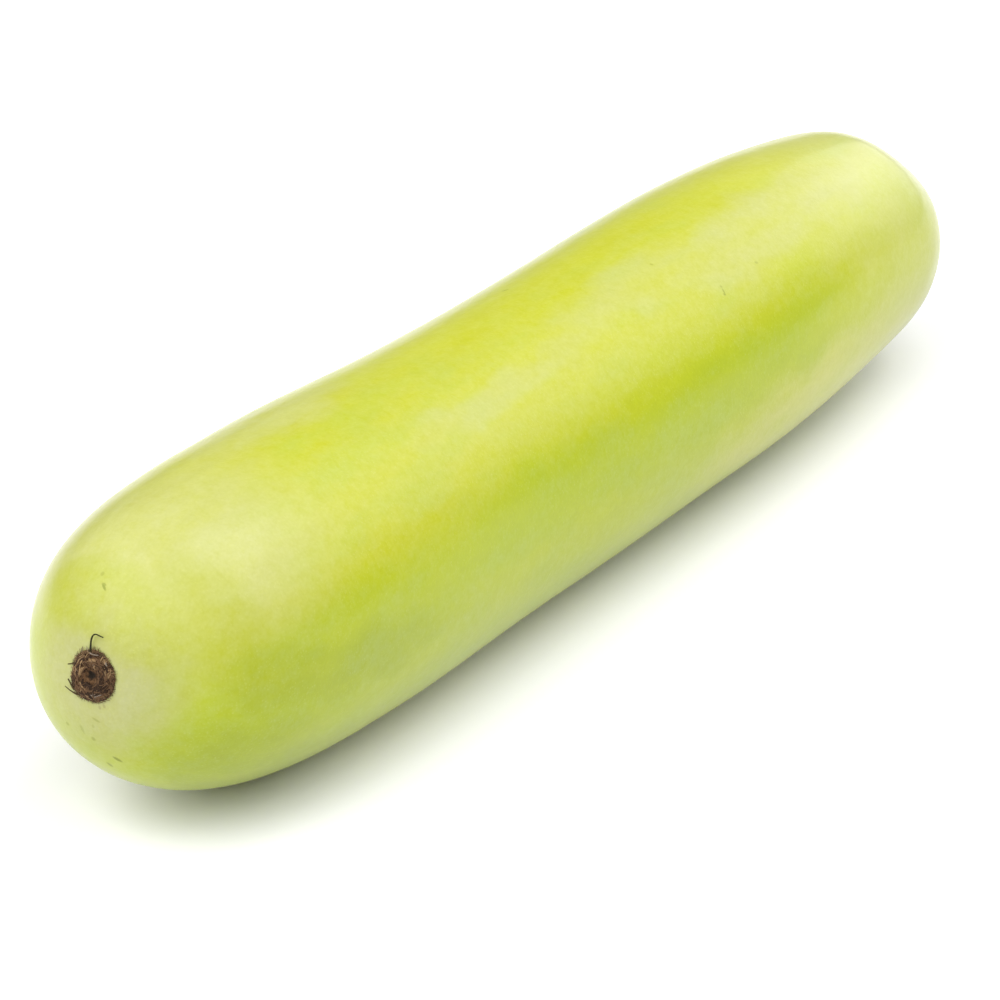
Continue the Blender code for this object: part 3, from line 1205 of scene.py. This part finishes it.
@dataclass
class Rind:
    """The skin of the whole fruit, as one fine closed mesh."""

    form: FruitForm
    rings: int = 300
    sides: int = 270
    swell_depth: float = 0.00030
    swell_size: float = 0.032
    swell_stretch: float = 2.0
    ripple_depth: float = 0.00006
    ripple_size: float = 0.0075
    ripple_stretch: float = 1.6
    seat_radius: float = 0.0046
    seat_edge: float = 0.00015
    seat_depth: float = 0.0022
    lip_height: float = 0.00010
    lip_radius: float = 0.0074
    lip_width: float = 0.0011
    pucker_depth: float = 0.00003
    pucker_radius: float = 0.011
    pucker_width: float = 0.0035
    pucker_count: int = 23
    lobe_depth: float = 0.0006
    lobe_radius: float = 0.013
    lobe_width: float = 0.008
    lobe_count: int = 5
    lobe_sink: float = 0.6
    pole_margin: float = 0.0000004

    def rows(self) -> tuple[np.ndarray, np.ndarray, np.ndarray]:
        """The plain rings, closer together towards both ends.

        Returns:
            Their points, their radii and the angles of the places round them.
        """
        shares = (1 - np.cos(np.linspace(0, math.pi, self.rings))) / 2
        shares = np.clip(shares, self.pole_margin, 1 - self.pole_margin)
        angles = turns(self.sides)
        return self.form.rings(shares, angles), self.form.radii(shares), angles

    def relief(self, rows: np.ndarray, radii: np.ndarray, angles: np.ndarray) -> np.ndarray:
        """How far each point stands out from the plain form.

        Args:
            rows: The plain points.
            radii: The radius of each ring.
            angles: The angle of each place round a ring.

        Returns:
            The distance along the outward normal.
        """
        swell = self.swell_depth * lumpy(rows, self.swell_size, self.swell_stretch)
        ripple = self.ripple_depth * lumpy(rows, self.ripple_size, self.ripple_stretch)
        radius = radii[:, None]
        near_scar = rows[:, :1, 0] < 0
        outside = np.tanh((radius - self.seat_radius) / self.seat_edge)
        seat = self.seat_depth * (outside - 1) / 2
        lip = self.lip_height * bell(radius, self.lip_radius, self.lip_width)
        pucker = self.pucker_depth * bell(radius, self.pucker_radius, self.pucker_width)
        pucker = pucker * np.cos(self.pucker_count * angles)[None]
        lobes = self.lobe_depth * bell(radius, self.lobe_radius, self.lobe_width)
        lobes = lobes * (np.cos(self.lobe_count * angles)[None] - self.lobe_sink)
        return swell + ripple + np.where(near_scar, seat + lip + pucker, lobes)

    def build(self) -> bpy.types.Mesh:
        """Makes the skin's mesh, flat where it rests.

        Returns:
            The mesh.
        """
        rows, radii, angles = self.rows()
        rows = rows + outward(rows) * self.relief(rows, radii, angles)[..., None]
        rows[..., 2] = np.maximum(rows[..., 2], 0.0)
        return shell("rind_skin", rows)

    def dress(self) -> bpy.types.Object:
        """Puts the skin in the scene in its finish."""
        return piece("rind_skin", self.build(), [RindFinish().material(self.form)],
                     Slot.RIND, Node.BODY)


@dataclass(frozen=True)
class Strand:
    """One strand of the scar whose points are listed one by one, in the scar's own frame."""

    points: tuple[Point, ...]
    thickness: float
    taper: float
    tone: Tone
    steps: int = 18

    def line(self) -> np.ndarray:
        """The smooth line through the strand's points."""
        shares = np.linspace(0, 1, self.steps)
        return np.stack([FruitForm.curve(axis, shares) for axis in np.transpose(self.points)], 1)

    def join(self, strands: Strands) -> None:
        """Adds the strand to others."""
        strands.add(self.line(), self.thickness, self.taper, self.tone)


@dataclass
class BlossomScar:
    """The dry blossom scar: a cork disc under a whorl of dead fibres, with a ragged rim."""

    form: FruitForm
    seed: int = 5
    radius: float = 0.0066
    depth: float = 0.0020
    crest: float = 0.0007
    crest_radius: float = 0.0046
    crest_width: float = 0.0018
    pit_depth: float = 0.0013
    pit_radius: float = 0.0015
    pit_aside: tuple[float, float] = (-0.0010, -0.0004)
    seat_shift: float = -0.0004
    outline: tuple[float, ...] = (0.93, 0.89, 0.95, 0.97, 0.92, 1.08, 1.02, 0.985)
    rim_drop: float = 0.0004
    rind_reach: float = 0.0144
    rind_steps: int = 200
    cork_rings: int = 90
    cork_sides: int = 220
    crumb_depth: float = 0.00022
    crumb_size: float = 0.0007
    fine_crumb_ratio: float = 2.3
    fine_crumb_share: float = 0.6
    ragged_share: float = 0.03
    ragged_size: float = 0.0012
    bunches: int = 120
    bunch_reach: Span = (0.30, 0.97)
    bunch_crowding: float = 0.8
    bunch_sweep: Span = (0.25, 1.0)
    bunch_drift: Span = (-0.0012, 0.0014)
    bunch_arch: Span = (0.1, 1.8)
    bunch_spread: float = 0.00016
    bunch_fan: float = 0.12
    bunch_fibres: int = 5
    fibre_thickness: float = 0.00019
    fibre_spread: Span = (0.6, 1.5)
    fibre_taper: float = 0.5
    fibre_lift: float = 0.00028
    fibre_lift_spread: Span = (0.7, 1.3)
    fibre_wave: float = 0.05
    fibre_waves: Span = (0.5, 1.5)
    fibre_sink: float = 0.00006
    fibre_steps: int = 9
    fibre_sides: int = 5
    least_radius: float = 0.0010
    overhang: float = 1.02
    tightest_turn: float = 0.002
    tangle_fibres: int = 150
    tangle_start: Span = (0.0016, 0.0058)
    tangle_run: Span = (0.0006, 0.0026)
    tangle_sweep: Span = (-0.5, 0.6)
    tangle_spread: Span = (0.6, 1.7)
    tangle_taper: float = 0.6
    tangle_lift: float = 0.00045
    tangle_lift_spread: Span = (0.3, 1.3)
    tangle_sink: float = 0.00005
    over_rind_lift: float = 0.0002
    over_rind_bend: float = 1.5
    fringe_hairs: int = 460
    fringe_root: Span = (0.88, 0.98)
    fringe_lean: float = 0.14
    fringe_lift: float = 0.0003
    hair_length: float = 0.0005
    hair_more: float = 0.0008
    hair_more_where_pale: float = 0.0004
    hair_thickness: float = 0.00010
    hair_spread: Span = (0.7, 1.6)
    hair_taper: float = 0.6
    teeth: int = 90
    teeth_missing: float = 0.6
    tooth_root: Span = (0.86, 0.96)
    tooth_length: Span = (0.0004, 0.0011)
    tooth_lean: float = 0.16
    tooth_lift: float = 0.00015
    tooth_thickness: float = 0.00042
    tooth_spread: Span = (0.6, 1.3)
    tooth_taper: float = 0.75
    wisp_sides: int = 8
    patch_size: float = 0.0021
    rim_from: float = 0.0034
    rim_rise: float = 1.6
    pale_angle: float = math.radians(155)
    pale_level: float = 0.20
    pale_gain: float = 1.6
    pale_patch: float = 1.2
    pale_loss: float = 0.45
    dark_angle: float = math.radians(262)
    dark_level: float = 0.9
    dark_gain: float = 1.9
    dark_patch: float = 1.6
    dark_rim: float = 0.6
    brown_weight: float = 1.9
    drawn_tones: ClassVar[tuple[Tone, ...]] = (Tone.DARK, Tone.BROWN, Tone.TAN, Tone.STRAW)
    rim_tones: ClassVar[tuple[Tone, ...]] = (Tone.DARK, Tone.BROWN, Tone.BARK)
    wisps: tuple[Strand, ...] = (
        Strand((
            (-0.0016, 0.0052, -0.0002), (-0.0013, 0.0063, 0.0003), (-0.0012, 0.0074, 0.0005),
            (-0.0012, 0.0086, 0.0005), (-0.0011, 0.0095, 0.0004), (-0.0008, 0.0102, 0.0003),
            (-0.0001, 0.0106, 0.0003), (0.0009, 0.0105, 0.0003), (0.0021, 0.0103, 0.0003),
        ), 0.00060, 0.50, Tone.OLIVE, 44),
        Strand(((-0.0048, 0.0024, -0.0002), (-0.0060, 0.0017, 0.0003), (-0.0075, 0.0011, 0.0002)),
               0.00042, 0.30, Tone.BARK),
        Strand((
            (-0.0022, -0.0056, -0.0001), (-0.0038, -0.0059, 0.0003), (-0.0055, -0.0056, 0.0003),
            (-0.0066, -0.0052, 0.0003), (-0.0078, -0.0047, 0.0002),
        ), 0.00048, 0.50, Tone.BARK, 24),
        Strand((
            (-0.0044, -0.0050, 0.0000), (-0.0054, -0.0045, 0.0003), (-0.0063, -0.0035, 0.0003),
            (-0.0072, -0.0027, 0.0001),
        ), 0.00062, 0.50, Tone.BARK),
    )
    straws: tuple[Strand, ...] = (
        Strand(((-0.0012, 0.0056, 0.0006), (0.0000, 0.0055, 0.0008), (0.0013, 0.0056, 0.0006)),
               0.00034, 0.4, Tone.STRAW),
        Strand(((0.0026, 0.0055, 0.0004), (0.0023, 0.0047, 0.0008), (0.0020, 0.0038, 0.0006)),
               0.00034, 0.4, Tone.TAN),
        Strand(((-0.0034, -0.0024, 0.0006), (-0.0024, -0.0035, 0.0008), (-0.0013, -0.0040, 0.0006)),
               0.00042, 0.4, Tone.TAN),
        Strand(((0.0009, -0.0054, 0.0004), (0.0020, -0.0047, 0.0008), (0.0031, -0.0042, 0.0006)),
               0.00040, 0.4, Tone.STRAW),
        Strand(((0.0036, 0.0042, 0.0006), (0.0038, 0.0039, 0.0008), (0.0040, 0.0035, 0.0006)),
               0.00045, 0.3, Tone.STRAW),
        Strand(((-0.0016, -0.0022, 0.0004), (-0.0008, -0.0027, 0.0006), (0.0002, -0.0026, 0.0004)),
               0.00075, 0.4, Tone.DARK),
        Strand(((-0.0012, -0.0027, 0.0004), (-0.0005, -0.0031, 0.0006), (0.0004, -0.0031, 0.0004)),
               0.00060, 0.4, Tone.DARK),
        Strand(((0.0005, 0.0027, 0.0004), (0.0005, 0.0022, 0.0006), (0.0006, 0.0016, 0.0002)),
               0.00060, 0.3, Tone.TAN),
        Strand(((-0.0029, 0.0041, 0.0006), (-0.0036, 0.0018, 0.0008), (-0.0035, -0.0007, 0.0006)),
               0.00042, 0.4, Tone.TAN),
        Strand(((-0.0042, 0.0024, 0.0006), (-0.0045, 0.0008, 0.0008), (-0.0041, -0.0010, 0.0006)),
               0.00036, 0.4, Tone.TAN),
        Strand(((-0.0044, 0.0028, 0.0007), (-0.0050, 0.0020, 0.0007), (-0.0054, 0.0011, 0.0006)),
               0.00050, 0.3, Tone.DARK),
        Strand(((-0.0033, -0.0051, 0.0007), (-0.0020, -0.0052, 0.0008), (-0.0008, -0.0050, 0.0007)),
               0.00050, 0.3, Tone.DARK),
    )

    def height(self, radius: np.ndarray) -> np.ndarray:
        """The relief of the scar's face: a pit, a crest round it and a rim that drops.

        Args:
            radius: Distances from the pit.

        Returns:
            The face's height above the rind's pole at each.
        """
        crest = self.crest * bell(radius, self.crest_radius, self.crest_width)
        pit = self.pit_depth * bell(radius, 0.0, self.pit_radius)
        beyond = np.maximum(radius - self.crest_radius, 0) / (self.radius - self.crest_radius)
        return crest - pit - self.rim_drop * beyond**2

    def rind_height(self, radius: np.ndarray) -> np.ndarray:
        """The form of the rind round the scar.

        Args:
            radius: Distances from the rind's pole.

        Returns:
            The rind's height above its pole at each.
        """
        shares = np.linspace(0, math.sqrt(self.rind_reach), self.rind_steps) ** 2
        radii = self.form.radii(shares)
        depths = shares * self.form.length + self.form.dips(shares, radii)
        return np.interp(radius, radii, depths[0] - depths)

    def aside(self, radius: np.ndarray) -> np.ndarray:
        """How far each radius is shifted, so that the rings close on the pit and not the middle."""
        share = np.clip(1 - radius / self.radius, 0, 1)
        return share[:, None] * np.array(self.pit_aside)

    def reach(self, angles: np.ndarray) -> np.ndarray:
        """The scar's outline.

        Args:
            angles: Angles round the scar.

        Returns:
            How far it reaches at each, as a share of its radius.
        """
        eighths = (angles / (math.pi / 4)) % len(self.outline)
        before = np.floor(eighths).astype(int) % len(self.outline)
        after = (before + 1) % len(self.outline)
        blend = 0.5 - 0.5 * np.cos(math.pi * (eighths - np.floor(eighths)))
        shares = np.array(self.outline)
        return shares[before] * (1 - blend) + shares[after] * blend

    def seat(self) -> Matrix:
        """The scar's frame, a little aside from the rind's pole."""
        return self.form.frame_at(End.BLOSSOM) @ Matrix.Translation((self.seat_shift, 0.0, 0.0))

    def line(self, radii: np.ndarray, angles: np.ndarray, heights: np.ndarray) -> np.ndarray:
        """A line on or over the scar.

        Args:
            radii: Its points' distances from the pit.
            angles: Their angles round the scar.
            heights: Their heights above the rind's pole.

        Returns:
            Its points, in the scar's frame.
        """
        flat = radii[:, None] * spokes(angles) * self.reach(angles)[:, None] + self.aside(radii)
        return np.concatenate([flat, heights[:, None]], axis=1)

    def tone(self, rng: random.Random, radius: float, angle: float) -> Tone:
        """Draws a fibre's shade: pale on one side, dark below the pit, and in soft patches.

        Args:
            rng: Where the draw comes from.
            radius: How far from the middle the fibre lies.
            angle: Its angle round the scar.

        Returns:
            The shade.
        """
        spot = Vector((radius * math.cos(angle), radius * math.sin(angle), 0.0))
        patch = noise.noise(spot / self.patch_size)
        outer = min(max(radius / self.rim_from - 1.0, 0.0) * self.rim_rise, 1.0)
        pale_side = max(0.0, math.cos(angle - self.pale_angle)) ** 2
        dark_side = max(0.0, math.cos(angle - self.dark_angle))
        pale = self.pale_level + self.pale_gain * pale_side + self.pale_patch * patch
        pale *= 1.0 - self.pale_loss * outer
        dark = self.dark_level + self.dark_gain * dark_side - self.dark_patch * patch
        dark += self.dark_rim * outer
        weights = (max(dark, 0.1), self.brown_weight, max(pale, 0.05), max(0.05 * pale, 0.01))
        return rng.choices(self.drawn_tones, weights=weights)[0]

    def cork(self) -> bpy.types.Mesh:
        """Makes the cork disc, crumbly on its face and plain underneath.

        Returns:
            The mesh.
        """
        radii = self.radius * (np.arange(self.cork_rings) + 1) / self.cork_rings
        angles = turns(self.cork_sides)
        face = np.stack([
            self.line(np.full(len(angles), radius), angles, np.full(len(angles), height))
            for radius, height in zip(radii, self.height(radii))
        ])
        fine = self.fine_crumb_share * lumpy(face, self.crumb_size / self.fine_crumb_ratio)
        face[..., 2] += self.crumb_depth * (lumpy(face, self.crumb_size) + fine)
        ragged = 1 + self.ragged_share * lumpy(face[-1:], self.ragged_size)[0]
        rim = face[-1].copy()
        rim[:, :2] *= ragged[:, None]
        face[-1] = rim
        under = rim.copy()
        under[:, 2] = -self.depth
        mesh = shell("scar_cork", np.concatenate([face, under[None]]))
        mesh.flip_normals()
        mesh.transform(self.seat())
        return mesh

    def whorl(self, strands: Strands, rng: random.Random) -> None:
        """Adds the bunches of fibres that wind round the scar.

        Args:
            strands: What they are added to.
            rng: Where their random draws come from.
        """
        shares = np.linspace(0, 1, self.fibre_steps)
        arched = np.sin(math.pi * shares)
        for _ in range(self.bunches):
            start = rng.uniform(0, 2 * math.pi)
            reach = self.radius * rng.uniform(*self.bunch_reach) ** self.bunch_crowding
            bend = self.crest_radius / max(reach, self.tightest_turn)
            sweep = rng.uniform(*self.bunch_sweep) * bend
            drift = rng.uniform(*self.bunch_drift)
            arch = rng.uniform(*self.bunch_arch)
            tone = self.tone(rng, reach, start + sweep / 2)
            for _ in range(self.bunch_fibres):
                aside = rng.gauss(0, self.bunch_spread)
                turn = start + rng.uniform(-self.bunch_fan, self.bunch_fan)
                radii = reach + aside + drift * (shares - 0.5)
                radii = np.clip(radii, self.least_radius, self.radius * self.overhang)
                lift = self.fibre_lift * arched * arch * rng.uniform(*self.fibre_lift_spread)
                waves = 2 * math.pi * shares * rng.uniform(*self.fibre_waves)
                wave = self.fibre_wave * np.sin(waves)
                heights = self.height(radii) + lift - self.fibre_sink
                line = self.line(radii, turn + sweep * shares + wave, heights)
                thickness = self.fibre_thickness * rng.uniform(*self.fibre_spread)
                strands.add(line, thickness, self.fibre_taper, tone)

    def tangle(self, strands: Strands, rng: random.Random) -> None:
        """Adds the short fibres that cross the whorl at all angles.

        Args:
            strands: What they are added to.
            rng: Where their random draws come from.
        """
        shares = np.linspace(0, 1, self.fibre_steps)
        arched = np.sin(math.pi * shares)
        for _ in range(self.tangle_fibres):
            start = rng.uniform(0, 2 * math.pi)
            begin = rng.uniform(*self.tangle_start)
            end = min(begin + rng.uniform(*self.tangle_run), self.radius)
            sweep = rng.uniform(*self.tangle_sweep)
            radii = begin + (end - begin) * shares
            lift = self.tangle_lift * arched * rng.uniform(*self.tangle_lift_spread)
            heights = self.height(radii) + (lift - self.tangle_sink)
            line = self.line(radii, start + sweep * shares, heights)
            tone = self.tone(rng, begin, start)
            thickness = self.fibre_thickness * rng.uniform(*self.tangle_spread)
            strands.add(line, thickness, self.tangle_taper, tone)

    def over_rind(self, root: float, reach: float, start: float, lean: float,
                  lift: float) -> np.ndarray:
        """A line that leaves the scar's face and lies over the rind round it.

        Args:
            root: The radius where it starts, on the scar.
            reach: The radius where it ends.
            start: Its angle round the scar at the root.
            lean: How far it turns round the scar on its way.
            lift: How high it stands over the rind at its tip.

        Returns:
            The line.
        """
        shares = np.linspace(0, 1, self.fibre_steps)
        radii = root + (reach - root) * shares
        falling = self.height(np.full(len(shares), root)) * (1 - shares)
        resting = (self.rind_height(radii) + lift) * shares
        heights = falling + resting + self.over_rind_lift * np.sin(math.pi * shares)
        return self.line(radii, start + lean * shares**self.over_rind_bend, heights)

    def fringe(self, strands: Strands, rng: random.Random) -> None:
        """Adds the fine hairs that fray the rim of the scar over the rind.

        Args:
            strands: What they are added to.
            rng: Where their random draws come from.
        """
        for _ in range(self.fringe_hairs):
            start = rng.uniform(0, 2 * math.pi)
            pale = 0.5 + 0.5 * math.cos(start - self.pale_angle)
            root = self.radius * rng.uniform(*self.fringe_root)
            length = self.hair_length + self.hair_more * rng.random() ** 2
            length += self.hair_more_where_pale * pale * rng.random()
            lean = rng.uniform(-self.fringe_lean, self.fringe_lean)
            lift = rng.uniform(0.0, self.fringe_lift)
            line = self.over_rind(root, root + length, start, lean, lift)
            weights = (0.6, 1.6 - 0.3 * pale, 0.2 + 0.9 * pale, 0.1 * pale)
            tone = rng.choices(self.drawn_tones, weights=weights)[0]
            thickness = self.hair_thickness * rng.uniform(*self.hair_spread)
            strands.add(line, thickness, self.hair_taper, tone)

    def ragged_rim(self, strands: Strands, rng: random.Random) -> None:
        """Adds the short thick stubs that make the rim ragged, fewer on the pale side.

        Args:
            strands: What they are added to.
            rng: Where their random draws come from.
        """
        for _ in range(self.teeth):
            start = rng.uniform(0, 2 * math.pi)
            if rng.random() < self.teeth_missing * math.cos(start - self.pale_angle):
                continue
            root = self.radius * rng.uniform(*self.tooth_root)
            length = rng.uniform(*self.tooth_length)
            lean = rng.uniform(-self.tooth_lean, self.tooth_lean)
            line = self.over_rind(root, root + length, start, lean, self.tooth_lift)
            tone = rng.choices(self.rim_tones)[0]
            thickness = self.tooth_thickness * rng.uniform(*self.tooth_spread)
            strands.add(line, thickness, self.tooth_taper, tone)

    def fibres(self) -> bpy.types.Mesh:
        """Makes every fibre of the whorl, the tangle and the frayed rim.

        Returns:
            The mesh.
        """
        rng = random.Random(self.seed)
        strands = Strands(self.fibre_sides)
        self.whorl(strands, rng)
        self.tangle(strands, rng)
        self.fringe(strands, rng)
        self.ragged_rim(strands, rng)
        for straw in self.straws:
            straw.join(strands)
        return strands.mesh("scar_fibres", self.seat())

    def wisp_mesh(self) -> bpy.types.Mesh:
        """Makes the wisps that stand out over the rind, the long one hooked at its tip.

        Returns:
            The mesh.
        """
        strands = Strands(self.wisp_sides)
        for wisp in self.wisps:
            wisp.join(strands)
        return strands.mesh("scar_wisps", self.seat())

    def dress(self) -> list[bpy.types.Object]:
        """Puts the scar's pieces in the scene in their finishes.

        Returns:
            The cork, the fibres and the wisps.
        """
        tones = [FibreFinish(tone).material() for tone in Tone]
        pit = self.seat() @ Vector((*self.pit_aside, float(self.height(np.zeros(1))[0])))
        cork = CorkFinish().material(tuple(pit))
        return [
            piece("scar_cork", self.cork(), [cork], Slot.SCAR, Node.SCAR),
            piece("scar_fibres", self.fibres(), tones, Slot.SCAR, Node.SCAR),
            piece("scar_wisps", self.wisp_mesh(), tones, Slot.SCAR, Node.SCAR),
        ]


@dataclass
class Stalk:
    """The cut stub of the stalk: five blunt ridges, wrinkled skin and a cut face."""

    form: FruitForm
    length: float = 0.0110
    radius: float = 0.0046
    flare: float = 0.0022
    flare_length: float = 0.0026
    ridges: int = 5
    ridge_depth: float = 0.0007
    root_depth: float = 0.0016
    chamfer: float = 0.0004
    rings: int = 90
    sides: int = 200
    wrinkle_depth: float = 0.00022
    wrinkle_size: float = 0.0009
    fine_wrinkle_size: float = 0.0004
    fine_wrinkle_share: float = 0.5
    wrinkle_draw: float = 0.12
    cut_rings: int = 24
    cut_hollow: float = 0.0007
    cut_fibre_depth: float = 0.00012
    cut_fibre_size: float = 0.0006
    cut_middle: float = 0.02

    def side_rows(self) -> np.ndarray:
        """The rings of the stalk's side.

        Returns:
            The rings, from its root to the edge of the cut.
        """
        heights = np.linspace(-self.root_depth, self.length, self.rings)
        above = np.maximum(heights, 0)
        flare = np.exp(-above / self.flare_length)
        fade = (1 - flare)[:, None]
        edge = np.clip((heights - self.length + self.chamfer) / self.chamfer, 0, 1)
        angles = turns(self.sides)
        groove = (1 - np.cos(self.ridges * angles)) / 2
        reach = (self.radius + self.flare * flare)[:, None] - self.ridge_depth * fade * groove[None]
        reach = reach - self.chamfer * (edge**2)[:, None]
        out = spokes(angles)[None]
        rows = np.zeros((self.rings, self.sides, 3))
        rows[..., :2] = reach[..., None] * out
        rows[..., 2] = heights[:, None]
        drawn = rows * (1, 1, self.wrinkle_draw)
        fine = self.fine_wrinkle_share * lumpy(drawn, self.fine_wrinkle_size)
        wrinkles = lumpy(drawn, self.wrinkle_size) + fine
        rows[..., :2] += (self.wrinkle_depth * fade * wrinkles)[..., None] * out
        return rows

    def cut_rows(self, rim: np.ndarray) -> np.ndarray:
        """The rings of the cut face, sunk where the pith has dried.

        Args:
            rim: The points of its rim.

        Returns:
            The rings, from the rim inwards.
        """
        shares = np.linspace(1, self.cut_middle, self.cut_rings)
        rows = np.repeat(rim[None], self.cut_rings, axis=0) * (1, 1, 0)
        rows = rows * shares[:, None, None]
        sunk = self.cut_hollow * (1 - shares**2)[:, None] ** 1.5
        fibres = self.cut_fibre_depth * lumpy(rows, self.cut_fibre_size)
        rows[..., 2] = self.length - sunk + fibres * (1 - shares**4)[:, None]
        return rows

    def build(self) -> bpy.types.Mesh:
        """Makes the stalk's mesh.

        Returns:
            The mesh, with the cut face in its second material.
        """
        side = self.side_rows()
        cut = self.cut_rows(side[-1])
        mesh = shell("stalk_stub", np.concatenate([side, cut[1:]]))
        mesh.flip_normals()
        tones = np.zeros(len(mesh.polygons), dtype=np.int32)
        tones[(self.rings - 1) * self.sides:] = 1
        root_fan = (self.rings + self.cut_rings - 2) * self.sides
        tones[root_fan:root_fan + self.sides] = 0
        mesh.polygons.foreach_set("material_index", tones)
        mesh.transform(self.form.frame_at(End.STALK))
        return mesh

    def dress(self) -> bpy.types.Object:
        """Puts the stalk in the scene in its finishes.

        Returns:
            The stalk.
        """
        finish = StalkFinish()
        materials = [finish.skin(self.form), finish.cut(self.form)]
        return piece("stalk_stub", self.build(), materials, Slot.STALK, Node.STALK)


# Studio


@dataclass(frozen=True)
class Softbox:
    """A soft studio light: where it hangs, what it faces, its size and its power."""

    name: str
    place: Point
    target: Point
    width: float
    depth: float
    power: float

    def build(self) -> bpy.types.Object:
        """Puts the light in the scene.

        Returns:
            The light.
        """
        light = bpy.data.lights.new(self.name, "AREA")
        light.shape = "RECTANGLE"
        light.size = self.width
        light.size_y = self.depth
        light.energy = self.power
        made = bpy.data.objects.new(self.name, light)
        made.location = self.place
        facing = Vector(self.target) - Vector(self.place)
        made.rotation_mode = "QUATERNION"
        made.rotation_quaternion = facing.to_track_quat("-Z", "Y")
        bpy.context.scene.collection.objects.link(made)
        return made


@dataclass
class Studio:
    """The plain pale floor, the soft lights and the camera at the photograph's angle."""

    floor_size: float = 12.0
    floor_drop: float = 0.0001
    floor_colour: Colour = (0.85, 0.85, 0.885)
    sky_colour: Colour = (1.0, 1.0, 1.0)
    sky_strength: float = 0.01
    azimuth: float = math.radians(-56.73)
    elevation: float = math.radians(26.0)
    distance: float = 1.600
    target: Point = (-0.00998, 0.00187, 0.02421)
    lens: float = 212.6
    near_clip: float = 0.05
    softboxes: tuple[Softbox, ...] = (
        Softbox("overhead_softbox", (0.27, -0.28, 1.18), MIDDLE, 0.75, 0.70, 5.0),
        Softbox("far_low_softbox", (1.47, -0.05, 0.36), MIDDLE, 1.10, 0.55, 3.6),
        Softbox("far_table_panel", (0.63, 0.10, 0.003), (0.63, 0.10, 1.0), 0.34, 0.50, 0.18),
        Softbox("far_middle_softbox", (1.30, -0.20, 0.65), MIDDLE, 0.75, 0.45, 2.0),
        Softbox("far_high_softbox", (0.99, -0.17, 1.08), MIDDLE, 0.75, 0.40, 1.0),
        Softbox("far_wide_softbox", (1.31, 0.00, 0.96), MIDDLE, 1.60, 1.20, 2.2),
        Softbox("back_softbox", (2.05, 0.66, 0.50), MIDDLE, 2.40, 0.90, 2.7),
        Softbox("near_softbox", (-1.26, -0.11, 1.18), MIDDLE, 2.40, 1.60, 19.8),
        Softbox("near_left_softbox", (-1.09, 0.63, 1.18), MIDDLE, 2.00, 1.40, 21.4),
        Softbox("near_right_softbox", (-0.89, -0.89, 1.18), MIDDLE, 2.00, 1.40, 9.6),
        Softbox("right_softbox", (0.72, -1.03, 1.18), MIDDLE, 1.60, 1.40, 15.5),
        Softbox("left_softbox", (-0.11, 1.26, 1.18), MIDDLE, 2.20, 1.60, 8.2),
    )

    def floor(self) -> bpy.types.Object:
        """Makes the floor, just under the resting flat.

        Returns:
            The floor.
        """
        half = self.floor_size / 2
        corners = [(-half, -half, 0), (half, -half, 0), (half, half, 0), (-half, half, 0)]
        mesh = bpy.data.meshes.new("floor")
        mesh.from_pydata(corners, [], [(0, 1, 2, 3)])
        graph = Graph("pale_floor")
        mesh.materials.append(graph.finish({"Base Color": self.floor_colour, "Roughness": 0.9}))
        made = bpy.data.objects.new("floor", mesh)
        made.location.z = -self.floor_drop
        bpy.context.scene.collection.objects.link(made)
        return made

    def sky(self) -> None:
        """Sets the even pale light that comes from all round."""
        world = bpy.data.worlds.new("studio_walls")
        world.use_nodes = True
        background = world.node_tree.nodes["Background"]
        background.inputs["Color"].default_value = (*self.sky_colour, 1.0)
        background.inputs["Strength"].default_value = self.sky_strength
        bpy.context.scene.world = world

    def camera(self) -> bpy.types.Object:
        """Makes the camera, which looks down on the blossom end from its left.

        Returns:
            The camera.
        """
        level = math.cos(self.elevation)
        back = Vector((
            math.sin(self.azimuth) * level,
            -math.cos(self.azimuth) * level,
            math.sin(self.elevation),
        ))
        data = bpy.data.cameras.new("photograph_view")
        data.lens = self.lens
        data.clip_start = self.near_clip
        made = bpy.data.objects.new("photograph_view", data)
        made.location = Vector(self.target) + back * self.distance
        made.rotation_mode = "QUATERNION"
        made.rotation_quaternion = (-back).to_track_quat("-Z", "Y")
        bpy.context.scene.collection.objects.link(made)
        bpy.context.scene.camera = made
        return made

    def build(self) -> None:
        """Sets up the whole studio."""
        self.floor()
        self.sky()
        for softbox in self.softboxes:
            softbox.build()
        self.camera()
        bpy.context.scene.view_settings.view_transform = "Standard"
        LOG.info("studio: floor, sky, %d softboxes and the camera", len(self.softboxes))


def main() -> None:
    """Builds the gourd's pieces in order, then the studio round them."""
    logging.basicConfig(level=logging.INFO)
    form = FruitForm()
    Rind(form).dress()
    BlossomScar(form).dress()
    Stalk(form).dress()
    Studio().build()


if __name__ == "__main__":
    main()
